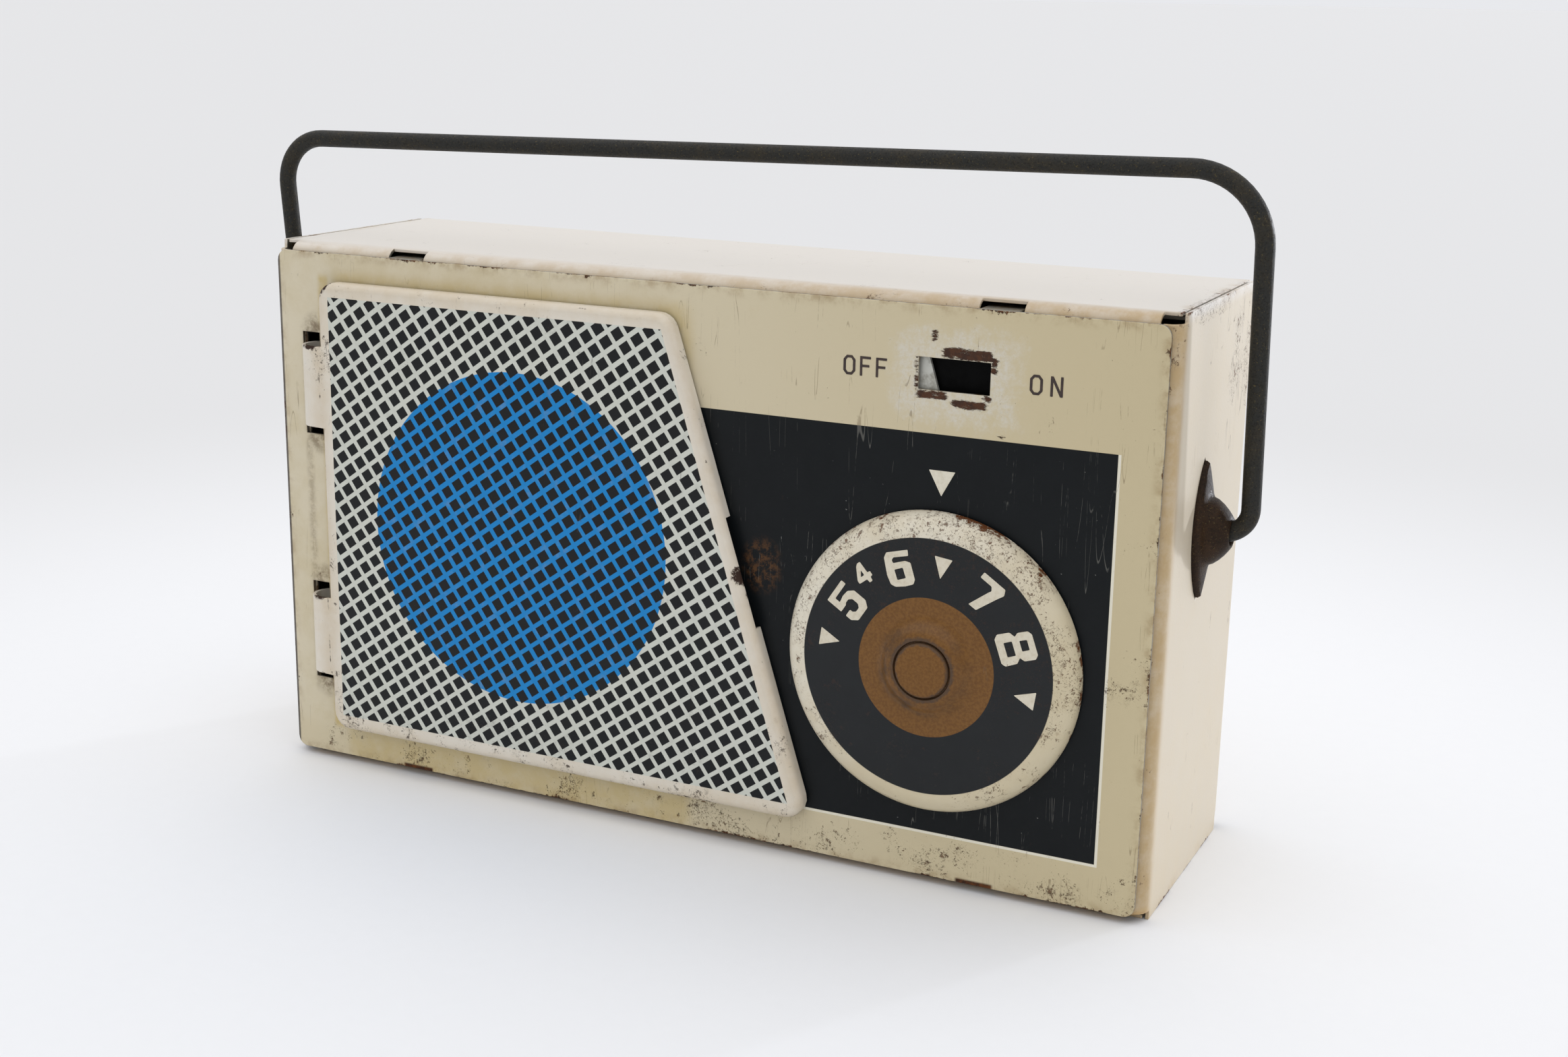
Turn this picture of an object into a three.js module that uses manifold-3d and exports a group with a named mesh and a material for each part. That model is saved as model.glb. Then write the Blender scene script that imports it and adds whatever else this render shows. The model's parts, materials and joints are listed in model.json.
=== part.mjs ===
// A pocket radio of printed tinplate: a folded case with two tabbed end panels, a flat face plate,
// a pan-shaped grille door on curled hinge tabs, a turning dial, a sliding switch plate and a
// bent wire bail that swings on two steel bosses. Millimetres, +Z up, the face looks along -Y.
import * as THREE from 'three';
import { mergeVertices } from 'three/addons/utils/BufferGeometryUtils.js';
import Module from 'manifold-3d';

const wasm = await Module();
wasm.setup();

// Case
const CASE_WIDTH = 110;
const CASE_DEPTH = 32.3;
const CASE_HEIGHT = 64.1;
const SHEET = 0.4;
const GAP = 0.3;
const CASE_BEND = 1.8;
const LIP = 4.2;
const CORNER_NOTCH = 2.4;
const PANEL_NOTCH = 1;
const PANEL_TAB_WIDTH = 3;
const PANEL_TAB_REACH = 3.5;
const PANEL_TAB_INSET = 5.6;

// Face plate
const FACE_INSET = 0.9;
const FACE_CORNER = 1.3;
const FACE_TAB_WIDTH = 4.2;
const FACE_TAB_DEPTH = 5;
const FACE_TAB_INSET = 18.7;
const FACE_TAB_PLAY = 0.3;
const FACE_SLOT_REACH = 1.45;
const SLOT_FLOOR = 0.1;

// Grille door and its compartment
const DOOR_LEFT = 7.9;
const DOOR_TOP = 4.1;
const DOOR_BOTTOM = 5;
const DOOR_RISE = 2;
const DOOR_CORNER = 2.2;
const DOOR_BEND = 0.8;
const DOOR_SLANT = THREE.MathUtils.degToRad(17.9);
const DOOR_DIAL_GAP = 3.5;
const COMPARTMENT_INSET = 3;
const FINGER_NOTCH_LENGTH = 12.6;
const FINGER_NOTCH_HEIGHT = 32.3;
const HINGE_SETBACK = 1.2;
const HINGE_TAB_LENGTH = 9.7;
const HINGE_TOP_INSET = 12.5;
const HINGE_BOTTOM_INSET = 11.7;
const HINGE_SLOT_END_PLAY = 1.3;
const HINGE_SLOT_WIDTH = 2.4;
const HINGE_HOOK_ANGLE = THREE.MathUtils.degToRad(70);

// Dial
const DIAL_RADIUS = 16.5;
const DIAL_FROM_RIGHT = 24.2;
const DIAL_HEIGHT = 25.4;
const DIAL_RISE = 2.4;
const DIAL_EDGE = 2.1;
const BOSS_RADIUS = 4.9;
const BOSS_RISE = 0.8;
const BOSS_FOOT = 0.3;
const BOSS_SLOPE = 0.8;
const RIVET_HEAD_RADIUS = 2.85;
const RIVET_HEAD_THICKNESS = 0.7;
const RIVET_EDGE = 0.15;
const RIVET_RADIUS = 1.2;
const RIVET_CLINCH = 1;
const WASHER_RADIUS = 4.5;

// Switch
const WINDOW_FROM_RIGHT = 23.15;
const WINDOW_FROM_TOP = 8;
const WINDOW_WIDTH = 7.8;
const WINDOW_HEIGHT = 3.35;
const SLIDE_MARGIN = 0.95;
const SLIDE_LENGTH = 14.5;
const SLIDE_SLANT = 1.65;
const SLIDE_SHOWN = 1.4;
const GUIDE_OVERHANG = 1.5;

// Bail and the bosses that carry it
const WIRE_RADIUS = 1;
const PIVOT_DEPTH = 13;
const PIVOT_FROM_TOP = 24.1;
const BAIL_STANDOFF = 5.2;
const BAIL_LEAN = THREE.MathUtils.degToRad(5.7);
const BAIL_LEFT_LEG = 35.6;
const BAIL_RIGHT_LEG = 37.8;
const BAIL_LEFT_CORNER = 6;
const BAIL_RIGHT_CORNER = 7.5;
const BAIL_ELBOW = 1.4;
const EYE_LENGTH = 14.8;
const EYE_WIDTH = 6;
const EYE_RISE = 1.2;
const EYE_FLANGE = 1.6;
const NOSE_RISE = 3.4;
const NOSE_BASE_RADIUS = 2.9;
const NOSE_TIP_RADIUS = 1.75;
const NOSE_STRETCH = 1.3;
const WIRE_TAIL = 1;
const CLIP_RADIUS = 2.6;
const CLIP_THICKNESS = 0.6;

const ARC_STEPS = 5;
const OVERRUN = 1;
const GUIDE_BEND = 0.6;
const BORE_LENGTH = 20;
const RIGHT = CASE_WIDTH / 2;
const LEFT = -RIGHT;
const FRONT = -CASE_DEPTH / 2;
const BACK = -FRONT;
const INNER_FACE = FRONT + SHEET;
const LIP_FACE = INNER_FACE + GAP;

const dialX = RIGHT - DIAL_FROM_RIGHT;
const doorLeft = LEFT + DOOR_LEFT;
const doorTop = CASE_HEIGHT - DOOR_TOP;
const hingeX = doorLeft - HINGE_SETBACK;
const hingeY = FRONT + SHEET / 2;
const hookRadius = DOOR_RISE + SHEET / 2;
const windowX = RIGHT - WINDOW_FROM_RIGHT;
const windowZ = CASE_HEIGHT - WINDOW_FROM_TOP;
const pivotY = FRONT + PIVOT_DEPTH;
const pivotZ = CASE_HEIGHT - PIVOT_FROM_TOP;

// Solids and booleans

function toSolid(geometry) {
  const bare = new THREE.BufferGeometry();
  bare.setAttribute('position', geometry.getAttribute('position').clone());
  if (geometry.index) {
    bare.setIndex(geometry.index.clone());
  }
  const merged = mergeVertices(bare, 1e-4);
  return new wasm.Manifold(new wasm.Mesh({
    numProp: 3,
    vertProperties: new Float32Array(merged.getAttribute('position').array),
    triVerts: new Uint32Array(merged.index.array),
  }));
}

function toGeometry(solid) {
  const mesh = solid.getMesh();
  const geometry = new THREE.BufferGeometry();
  geometry.setAttribute('position', new THREE.BufferAttribute(mesh.vertProperties, 3));
  geometry.setIndex(new THREE.BufferAttribute(mesh.triVerts, 1));
  geometry.computeVertexNormals();
  return geometry;
}

function join(...geometries) {
  return toGeometry(geometries.map(toSolid).reduce((whole, next) => whole.add(next)));
}

function cut(geometry, ...tools) {
  return toGeometry(tools.map(toSolid).reduce((rest, tool) => rest.subtract(tool), toSolid(geometry)));
}

function keepInside(geometry, bounds) {
  return toGeometry(toSolid(geometry).intersect(toSolid(bounds)));
}

function boxBetween(low, high) {
  const size = high.map((value, axis) => value - low[axis]);
  const middle = high.map((value, axis) => (value + low[axis]) / 2);
  return new THREE.BoxGeometry(...size).translate(...middle);
}

function mirrorX(geometry) {
  const mirrored = geometry.clone().scale(-1, 1, 1);
  const order = mirrored.index.array;
  for (let corner = 0; corner < order.length; corner += 3) {
    const second = order[corner + 1];
    order[corner + 1] = order[corner + 2];
    order[corner + 2] = second;
  }
  return mirrored;
}

// Outlines

function roundedPath(corners, radii, closed = false) {
  const count = corners.length;
  const path = [];
  corners.forEach((corner, index) => {
    const radius = Array.isArray(radii) ? radii[index] : radii;
    if (!closed && (index === 0 || index === count - 1)) {
      path.push(corner.clone());
      return;
    }
    const before = corners[(index + count - 1) % count];
    const after = corners[(index + 1) % count];
    const inward = before.clone().sub(corner).normalize();
    const onward = after.clone().sub(corner).normalize();
    const half = Math.acos(THREE.MathUtils.clamp(inward.dot(onward), -1, 1)) / 2;
    const middle = inward.clone().add(onward).normalize().multiplyScalar(radius / Math.sin(half));
    const centre = corner.clone().add(middle);
    const start = corner.clone().addScaledVector(inward, radius / Math.tan(half)).sub(centre);
    const turn = Math.sign(inward.cross(onward)) * -(Math.PI - 2 * half);
    for (let step = 0; step <= ARC_STEPS; step += 1) {
      path.push(start.clone().rotateAround(new THREE.Vector2(), (turn * step) / ARC_STEPS).add(centre));
    }
  });
  return path;
}

function offsetCorners(corners, distance, closed = false) {
  const count = corners.length;
  const leftOf = (from, to) => {
    const along = to.clone().sub(from).normalize();
    return new THREE.Vector2(-along.y, along.x);
  };
  return corners.map((corner, index) => {
    const hasBefore = closed || index > 0;
    const hasAfter = closed || index < count - 1;
    const sideBefore = hasBefore ? leftOf(corners[(index + count - 1) % count], corner) : null;
    const sideAfter = hasAfter ? leftOf(corner, corners[(index + 1) % count]) : null;
    const first = sideBefore ?? sideAfter;
    const second = sideAfter ?? sideBefore;
    const middle = first.clone().add(second).normalize();
    return corner.clone().addScaledVector(middle, distance / middle.dot(first));
  });
}

function bentSheet(corners, radius) {
  const outer = roundedPath(corners, radius);
  const inner = roundedPath(offsetCorners(corners, SHEET), radius - SHEET);
  return new THREE.Shape([...outer, ...inner.reverse()]);
}

function pointList(...pairs) {
  return pairs.map(([x, y]) => new THREE.Vector2(x, y));
}

function extrudeUp(shape, bottom, top) {
  const options = { depth: top - bottom, bevelEnabled: false, curveSegments: ARC_STEPS };
  return new THREE.ExtrudeGeometry(shape, options).translate(0, 0, bottom);
}

function extrudeForward(shape, backY, depth) {
  const options = { depth, bevelEnabled: false, curveSegments: ARC_STEPS };
  return new THREE.ExtrudeGeometry(shape, options).rotateX(Math.PI / 2).translate(0, backY, 0);
}

function extrudeAcross(shape, startX, length) {
  const options = { depth: length, bevelEnabled: false, curveSegments: ARC_STEPS };
  const geometry = new THREE.ExtrudeGeometry(shape, options);
  return geometry.rotateX(Math.PI / 2).rotateZ(Math.PI / 2).translate(startX, 0, 0);
}

// Door outline, shared by the door and by the opening behind it

function doorEdgeX(z) {
  const nearest = dialX - DIAL_RADIUS - DOOR_DIAL_GAP;
  return nearest - (z - DIAL_HEIGHT) * Math.tan(DOOR_SLANT);
}

function doorCorners(inset) {
  const corners = pointList(
    [doorLeft, DOOR_BOTTOM],
    [doorEdgeX(DOOR_BOTTOM), DOOR_BOTTOM],
    [doorEdgeX(doorTop), doorTop],
    [doorLeft, doorTop],
  );
  return offsetCorners(corners, inset, true);
}

const hingeTabs = [DOOR_BOTTOM + HINGE_BOTTOM_INSET, doorTop - HINGE_TOP_INSET];
const faceTabs = [LEFT + FACE_TAB_INSET, RIGHT - FACE_TAB_INSET];
const faceTop = CASE_HEIGHT - FACE_INSET;

// Case shell: one sheet folded round the bottom, the back and the top, with a lip down the front

function makeCaseShell() {
  const corners = pointList(
    [LIP_FACE, LIP],
    [LIP_FACE, 0],
    [BACK, 0],
    [BACK, CASE_HEIGHT],
    [LIP_FACE, CASE_HEIGHT],
    [LIP_FACE, CASE_HEIGHT - LIP],
  );
  const endGap = SHEET + GAP;
  const sheet = extrudeAcross(bentSheet(corners, CASE_BEND), LEFT + endGap, CASE_WIDTH - 2 * endGap);
  const tools = [];
  for (const side of [-1, 1]) {
    const outside = side * (RIGHT + OVERRUN);
    const inside = side * (RIGHT - CORNER_NOTCH);
    const low = Math.min(outside, inside);
    const high = Math.max(outside, inside);
    tools.push(boxBetween([low, FRONT, -OVERRUN], [high, LIP_FACE + CASE_BEND, LIP + OVERRUN]));
    tools.push(boxBetween(
      [low, FRONT, CASE_HEIGHT - LIP - OVERRUN],
      [high, LIP_FACE + CASE_BEND, CASE_HEIGHT + OVERRUN],
    ));
  }
  for (const tabX of faceTabs) {
    const half = FACE_TAB_WIDTH / 2 + FACE_TAB_PLAY;
    const slotBack = LIP_FACE + FACE_SLOT_REACH;
    const slotFoot = FACE_INSET + SHEET + FACE_TAB_PLAY;
    tools.push(boxBetween([tabX - half, FRONT, SHEET + SLOT_FLOOR], [tabX + half, slotBack, slotFoot]));
    tools.push(boxBetween(
      [tabX - half, FRONT, CASE_HEIGHT - slotFoot],
      [tabX + half, slotBack, CASE_HEIGHT + OVERRUN],
    ));
  }
  return cut(sheet, ...tools);
}

// End panel, drawn on the right: front bend and lip, inner flange at the back, four folded tabs

function eyeShape(length, width) {
  const halfLength = length / 2;
  const halfWidth = width / 2;
  const radius = (halfLength ** 2 + halfWidth ** 2) / (2 * halfWidth);
  const reach = Math.asin(halfLength / radius);
  const shape = new THREE.Shape();
  shape.absarc(pivotY + halfWidth - radius, pivotZ, radius, -reach, reach, false);
  shape.absarc(pivotY - halfWidth + radius, pivotZ, radius, Math.PI - reach, Math.PI + reach, false);
  return shape;
}

function makeEndPanel() {
  const flangeY = BACK - SHEET - GAP;
  const corners = pointList(
    [RIGHT - LIP, LIP_FACE],
    [RIGHT, LIP_FACE],
    [RIGHT, flangeY],
    [RIGHT - LIP, flangeY],
  );
  const sheet = extrudeUp(bentSheet(corners, CASE_BEND), 0, CASE_HEIGHT);
  const notchX = RIGHT - CORNER_NOTCH + GAP;
  const frontY = LIP_FACE + CASE_BEND;
  const rearY = flangeY - CASE_BEND;
  const tools = [];
  for (const [outer, corner, notch, lip] of [
    [-OVERRUN, PANEL_NOTCH, CORNER_NOTCH - GAP, LIP + GAP],
    [
      CASE_HEIGHT + OVERRUN,
      CASE_HEIGHT - PANEL_NOTCH,
      CASE_HEIGHT - CORNER_NOTCH + GAP,
      CASE_HEIGHT - LIP - GAP,
    ],
  ]) {
    const slab = (lowX, lowY, highX, highY, edge) => boxBetween(
      [lowX, lowY, Math.min(outer, edge)],
      [highX, highY, Math.max(outer, edge)],
    );
    tools.push(slab(notchX, FRONT, RIGHT + OVERRUN, frontY, corner));
    tools.push(slab(RIGHT - LIP - OVERRUN, FRONT, notchX, frontY, lip));
    tools.push(slab(RIGHT - LIP - OVERRUN, rearY, RIGHT + OVERRUN, BACK, notch));
  }
  const eye = eyeShape(EYE_LENGTH + 2 * GAP, EYE_WIDTH + 2 * GAP);
  tools.push(extrudeAcross(eye, RIGHT - OVERRUN, 2 * OVERRUN));
  const tabs = [];
  for (const middleY of [LIP_FACE + PANEL_TAB_INSET, BACK - PANEL_TAB_INSET - CASE_BEND]) {
    for (const foot of [SHEET + GAP, CASE_HEIGHT - 2 * SHEET - GAP]) {
      tabs.push(boxBetween(
        [RIGHT - SHEET - PANEL_TAB_REACH, middleY - PANEL_TAB_WIDTH / 2, foot],
        [RIGHT - SHEET / 2, middleY + PANEL_TAB_WIDTH / 2, foot + SHEET],
      ));
    }
  }
  return join(cut(sheet, ...tools), ...tabs);
}

// Face plate: flat sheet with the compartment opening, hinge slots, switch window and dial hole

function makeFacePlate() {
  const low = LEFT + FACE_INSET;
  const high = RIGHT - FACE_INSET;
  const outline = pointList([low, FACE_INSET], [high, FACE_INSET], [high, faceTop], [low, faceTop]);
  const shape = new THREE.Shape(roundedPath(outline, FACE_CORNER, true));
  shape.holes.push(new THREE.Path(roundedPath(doorCorners(COMPARTMENT_INSET), DOOR_CORNER, true)));
  const slotLeft = hingeX - hookRadius - GAP;
  const slotHalf = HINGE_TAB_LENGTH / 2 + HINGE_SLOT_END_PLAY;
  const rectangle = (x0, z0, x1, z1) => new THREE.Path(pointList([x0, z0], [x1, z0], [x1, z1], [x0, z1]));
  for (const tabZ of hingeTabs) {
    shape.holes.push(rectangle(slotLeft, tabZ - slotHalf, slotLeft + HINGE_SLOT_WIDTH, tabZ + slotHalf));
  }
  shape.holes.push(rectangle(
    windowX - WINDOW_WIDTH / 2,
    windowZ - WINDOW_HEIGHT / 2,
    windowX + WINDOW_WIDTH / 2,
    windowZ + WINDOW_HEIGHT / 2,
  ));
  const pivotHole = new THREE.Path();
  pivotHole.absarc(dialX, DIAL_HEIGHT, RIVET_RADIUS + GAP, 0, 2 * Math.PI, false);
  shape.holes.push(pivotHole);
  const tabs = [];
  for (const tabX of faceTabs) {
    for (const foot of [FACE_INSET, faceTop - SHEET]) {
      tabs.push(boxBetween(
        [tabX - FACE_TAB_WIDTH / 2, FRONT + SHEET / 2, foot],
        [tabX + FACE_TAB_WIDTH / 2, FRONT + FACE_TAB_DEPTH, foot + SHEET],
      ));
    }
  }
  return join(extrudeForward(shape, INNER_FACE, SHEET), ...tabs);
}

// Grille door: a shallow pan with two curled tabs that hook through the hinge slots

function doorBlock(inset, corner, bend, frontY) {
  const outline = roundedPath(doorCorners(inset), corner, true);
  const options = {
    depth: DOOR_RISE,
    bevelEnabled: true,
    bevelThickness: bend,
    bevelSize: bend,
    bevelOffset: -bend,
    bevelSegments: 3,
  };
  const block = new THREE.ExtrudeGeometry(new THREE.Shape(outline), options);
  return block.rotateX(Math.PI / 2).translate(0, frontY + DOOR_RISE + bend, 0);
}

function hingeTab(middleZ) {
  const shape = new THREE.Shape();
  const leafEnd = doorLeft + DOOR_BEND + SHEET;
  shape.moveTo(leafEnd, hingeY - hookRadius);
  shape.lineTo(hingeX, hingeY - hookRadius);
  shape.absarc(hingeX, hingeY, hookRadius, 1.5 * Math.PI, Math.PI - HINGE_HOOK_ANGLE, true);
  shape.absarc(hingeX, hingeY, hookRadius - SHEET, Math.PI - HINGE_HOOK_ANGLE, 1.5 * Math.PI, false);
  shape.lineTo(leafEnd, hingeY - hookRadius + SHEET);
  const half = HINGE_TAB_LENGTH / 2;
  return extrudeUp(shape, middleZ - half, middleZ + half);
}

function makeDoor() {
  const frontY = FRONT - DOOR_RISE;
  const outer = doorBlock(0, DOOR_CORNER, DOOR_BEND, frontY);
  const inner = doorBlock(SHEET, DOOR_CORNER - SHEET, DOOR_BEND - SHEET, frontY + SHEET);
  const kept = boxBetween(
    [LEFT, frontY - OVERRUN, 0],
    [RIGHT, FRONT - GAP, CASE_HEIGHT],
  );
  const shell = keepInside(cut(outer, inner), kept);
  const notch = boxBetween(
    [-DOOR_BEND, 0, -FINGER_NOTCH_LENGTH / 2],
    [OVERRUN, DOOR_RISE, FINGER_NOTCH_LENGTH / 2],
  );
  notch.rotateY(-DOOR_SLANT);
  notch.translate(doorEdgeX(FINGER_NOTCH_HEIGHT), frontY + SHEET + GAP, FINGER_NOTCH_HEIGHT);
  return join(cut(shell, notch), ...hingeTabs.map(hingeTab));
}

// Dial: stamped cap, the rivet that it turns with and the washer behind the face plate

function lathe(points, segments) {
  return new THREE.LatheGeometry(points, segments).rotateX(Math.PI);
}

function quarterRound(centreR, centreH, radius) {
  const arc = [];
  for (let step = 0; step <= ARC_STEPS; step += 1) {
    const angle = (Math.PI / 2) * (step / ARC_STEPS);
    arc.push([centreR + radius * Math.cos(angle), centreH + radius * Math.sin(angle)]);
  }
  return arc;
}

function makeDialCap() {
  const hole = RIVET_RADIUS + GAP;
  const edgeR = DIAL_RADIUS - DIAL_EDGE;
  const edgeH = DIAL_RISE - DIAL_EDGE;
  const wellRadius = RIVET_HEAD_RADIUS + GAP * 1.5;
  const wellFloor = DIAL_RISE + BOSS_RISE / 2;
  const bossTop = DIAL_RISE + BOSS_RISE;
  const inner = quarterRound(edgeR, edgeH, DIAL_EDGE - SHEET).reverse();
  const profile = pointList(
    ...quarterRound(edgeR, edgeH, DIAL_EDGE),
    [BOSS_RADIUS, DIAL_RISE],
    [BOSS_RADIUS - BOSS_FOOT, DIAL_RISE + BOSS_RISE / 2],
    [BOSS_RADIUS - BOSS_SLOPE, bossTop],
    [wellRadius + BOSS_FOOT, bossTop],
    [wellRadius, wellFloor],
    [hole, wellFloor],
    [hole, wellFloor - SHEET],
    [wellRadius, DIAL_RISE - SHEET],
    ...inner,
    [DIAL_RADIUS, edgeH],
  );
  return lathe(profile, 64);
}

function makeDialRivet() {
  const seat = DIAL_RISE + BOSS_RISE / 2 + GAP;
  const top = seat + RIVET_HEAD_THICKNESS;
  const tailStart = -(2 * SHEET + 3 * GAP);
  const tailEnd = tailStart - RIVET_HEAD_THICKNESS;
  const tailRadius = RIVET_RADIUS + RIVET_CLINCH;
  const profile = pointList(
    [0, tailEnd],
    [tailRadius, tailEnd],
    [tailRadius, tailStart],
    [RIVET_RADIUS, tailStart],
    [RIVET_RADIUS, seat],
    [RIVET_HEAD_RADIUS, seat],
    [RIVET_HEAD_RADIUS, top - RIVET_EDGE],
    [RIVET_HEAD_RADIUS - RIVET_EDGE, top],
    [0, top],
  );
  return lathe(profile, 32);
}

function makeDialWasher() {
  const near = -(SHEET + GAP);
  const far = near - SHEET;
  const hole = RIVET_RADIUS + GAP;
  const profile = pointList(
    [hole, far],
    [WASHER_RADIUS, far],
    [WASHER_RADIUS, near],
    [hole, near],
    [hole, far],
  );
  return lathe(profile, 32);
}

// Switch: a slanted-end plate that slides behind the window in a folded guide

const slideHalf = WINDOW_HEIGHT / 2 + SLIDE_MARGIN;
const slideEnd = windowX - WINDOW_WIDTH / 2 + SLIDE_SHOWN;

function makeSwitchSlide() {
  const shape = new THREE.Shape(pointList(
    [slideEnd - SLIDE_LENGTH, windowZ - slideHalf],
    [slideEnd + SLIDE_SLANT / 2, windowZ - slideHalf],
    [slideEnd - SLIDE_SLANT / 2, windowZ + slideHalf],
    [slideEnd - SLIDE_LENGTH, windowZ + slideHalf],
  ));
  return extrudeForward(shape, LIP_FACE + SHEET, SHEET);
}

function makeSwitchGuide() {
  const wall = slideHalf + GAP + SHEET;
  const floorY = LIP_FACE + 2 * SHEET + GAP;
  const corners = pointList(
    [LIP_FACE, windowZ - wall],
    [floorY, windowZ - wall],
    [floorY, windowZ + wall],
    [LIP_FACE, windowZ + wall],
  );
  const startX = slideEnd - SLIDE_LENGTH - GUIDE_OVERHANG;
  const endX = windowX + WINDOW_WIDTH / 2 + GUIDE_OVERHANG;
  return extrudeAcross(bentSheet(corners, GUIDE_BEND), startX, endX - startX);
}

// Bosses: eye-shaped steel stampings that stand out through the end panels, drawn on the right

function makeBoss() {
  const flangeX = RIGHT - 2 * SHEET - GAP;
  const flangeShape = eyeShape(EYE_LENGTH + 2 * EYE_FLANGE, EYE_WIDTH + 2 * EYE_FLANGE);
  const flange = extrudeAcross(flangeShape, flangeX, SHEET);
  const body = extrudeAcross(eyeShape(EYE_LENGTH, EYE_WIDTH), flangeX, RIGHT + EYE_RISE - flangeX);
  const nose = new THREE.CylinderGeometry(NOSE_TIP_RADIUS, NOSE_BASE_RADIUS, NOSE_RISE, 24);
  nose.rotateZ(-Math.PI / 2).scale(1, 1, NOSE_STRETCH).translate(RIGHT + NOSE_RISE / 2, pivotY, pivotZ);
  const bore = new THREE.CylinderGeometry(WIRE_RADIUS + GAP, WIRE_RADIUS + GAP, BORE_LENGTH, 24);
  bore.rotateZ(Math.PI / 2).translate(RIGHT, pivotY, pivotZ);
  return cut(join(flange, body, nose), bore);
}

// Bail: one bent wire, its lower ends turned inwards through the bosses and held by ring clips

class WirePath extends THREE.Curve {
  constructor(stations) {
    super();
    this.stations = stations;
  }

  station(share) {
    return Math.round(share * (this.stations.length - 1));
  }

  getPointAt(share) {
    return this.stations[this.station(share)].clone();
  }

  getTangentAt(share) {
    const index = this.station(share);
    const last = this.stations.length - 1;
    const tangent = new THREE.Vector3();
    if (index > 0) {
      tangent.add(this.stations[index].clone().sub(this.stations[index - 1]).normalize());
    }
    if (index < last) {
      tangent.add(this.stations[index + 1].clone().sub(this.stations[index]).normalize());
    }
    return tangent.normalize();
  }
}

const clipX = RIGHT - 2 * SHEET - 2 * GAP - CLIP_THICKNESS;

function makeBail() {
  const tailX = clipX - WIRE_TAIL;
  const legX = RIGHT + BAIL_STANDOFF;
  const corners = pointList(
    [-tailX, 0],
    [-legX, 0],
    [-legX, BAIL_LEFT_LEG],
    [legX, BAIL_RIGHT_LEG],
    [legX, 0],
    [tailX, 0],
  );
  const radii = [0, BAIL_ELBOW, BAIL_LEFT_CORNER, BAIL_RIGHT_CORNER, BAIL_ELBOW, 0];
  const stations = roundedPath(corners, radii).map((point) => new THREE.Vector3(point.x, 0, point.y));
  const section = new THREE.Shape();
  section.absarc(0, 0, WIRE_RADIUS, 0, 2 * Math.PI, false);
  const options = { steps: stations.length - 1, extrudePath: new WirePath(stations), curveSegments: 12 };
  return new THREE.ExtrudeGeometry(section, options);
}

function makeClip() {
  const hole = WIRE_RADIUS + GAP;
  const ring = pointList(
    [hole, 0],
    [CLIP_RADIUS, 0],
    [CLIP_RADIUS, CLIP_THICKNESS],
    [hole, CLIP_THICKNESS],
    [hole, 0],
  );
  return new THREE.LatheGeometry(ring, 24).rotateZ(-Math.PI / 2);
}

// Finishes

const finishes = {
  creamPaint: { color: 0xd6cfb2, roughness: 0.42, metalness: 0 },
  greyPlate: { color: 0xa8a89e, roughness: 0.45, metalness: 0.6 },
  tin: { color: 0x8d8a80, roughness: 0.4, metalness: 0.9 },
  goldPrint: { color: 0x7a5a2c, roughness: 0.4, metalness: 0.3 },
  darkSteel: { color: 0x3a3836, roughness: 0.45, metalness: 0.8 },
};

function piece(name, geometry, finish) {
  const mesh = new THREE.Mesh(geometry, new THREE.MeshStandardMaterial(finishes[finish]));
  mesh.name = name;
  return mesh;
}

const radio = new THREE.Group();
radio.add(piece('case_shell', makeCaseShell(), 'creamPaint'));
const endPanel = makeEndPanel();
radio.add(piece('end_panel_right', endPanel, 'creamPaint'));
radio.add(piece('end_panel_left', mirrorX(endPanel), 'creamPaint'));
radio.add(piece('face_plate', makeFacePlate(), 'creamPaint'));
radio.add(piece('grille_door', makeDoor(), 'creamPaint'));
radio.add(piece('switch_slide', makeSwitchSlide(), 'greyPlate'));
radio.add(piece('switch_guide', makeSwitchGuide(), 'tin'));

const dial = new THREE.Group();
dial.position.set(dialX, FRONT, DIAL_HEIGHT);
dial.add(piece('dial_cap', makeDialCap(), 'creamPaint'));
dial.add(piece('dial_rivet', makeDialRivet(), 'goldPrint'));
dial.add(piece('dial_washer', makeDialWasher(), 'tin'));
radio.add(dial);

const boss = makeBoss();
radio.add(piece('bail_boss_right', boss, 'darkSteel'));
radio.add(piece('bail_boss_left', mirrorX(boss), 'darkSteel'));

const bail = new THREE.Group();
bail.position.set(0, pivotY, pivotZ);
bail.rotation.x = BAIL_LEAN;
bail.add(piece('bail_wire', makeBail(), 'darkSteel'));
for (const [side, label] of [[-1, 'left'], [1, 'right']]) {
  const clip = piece(`bail_clip_${label}`, makeClip(), 'tin');
  clip.position.x = side > 0 ? clipX : -clipX - CLIP_THICKNESS;
  bail.add(clip);
}
radio.add(bail);

export default radio;
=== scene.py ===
"""The looks of a printed tinplate pocket radio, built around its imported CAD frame.

Everything is in metres in the row frame: the case stands on z = 0, its printed face looks
along -Y, and the dial end is at +X.
"""

import json  # noqa: E402
import logging  # noqa: E402
import math  # noqa: E402
from dataclasses import dataclass, field, replace  # noqa: E402
from enum import Enum  # noqa: E402
from functools import partial, reduce  # noqa: E402
from typing import Any, Callable, ClassVar, NamedTuple, Sequence  # noqa: E402

import bmesh  # noqa: E402
import bpy  # noqa: E402
from mathutils import Matrix, Vector  # noqa: E402

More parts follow.
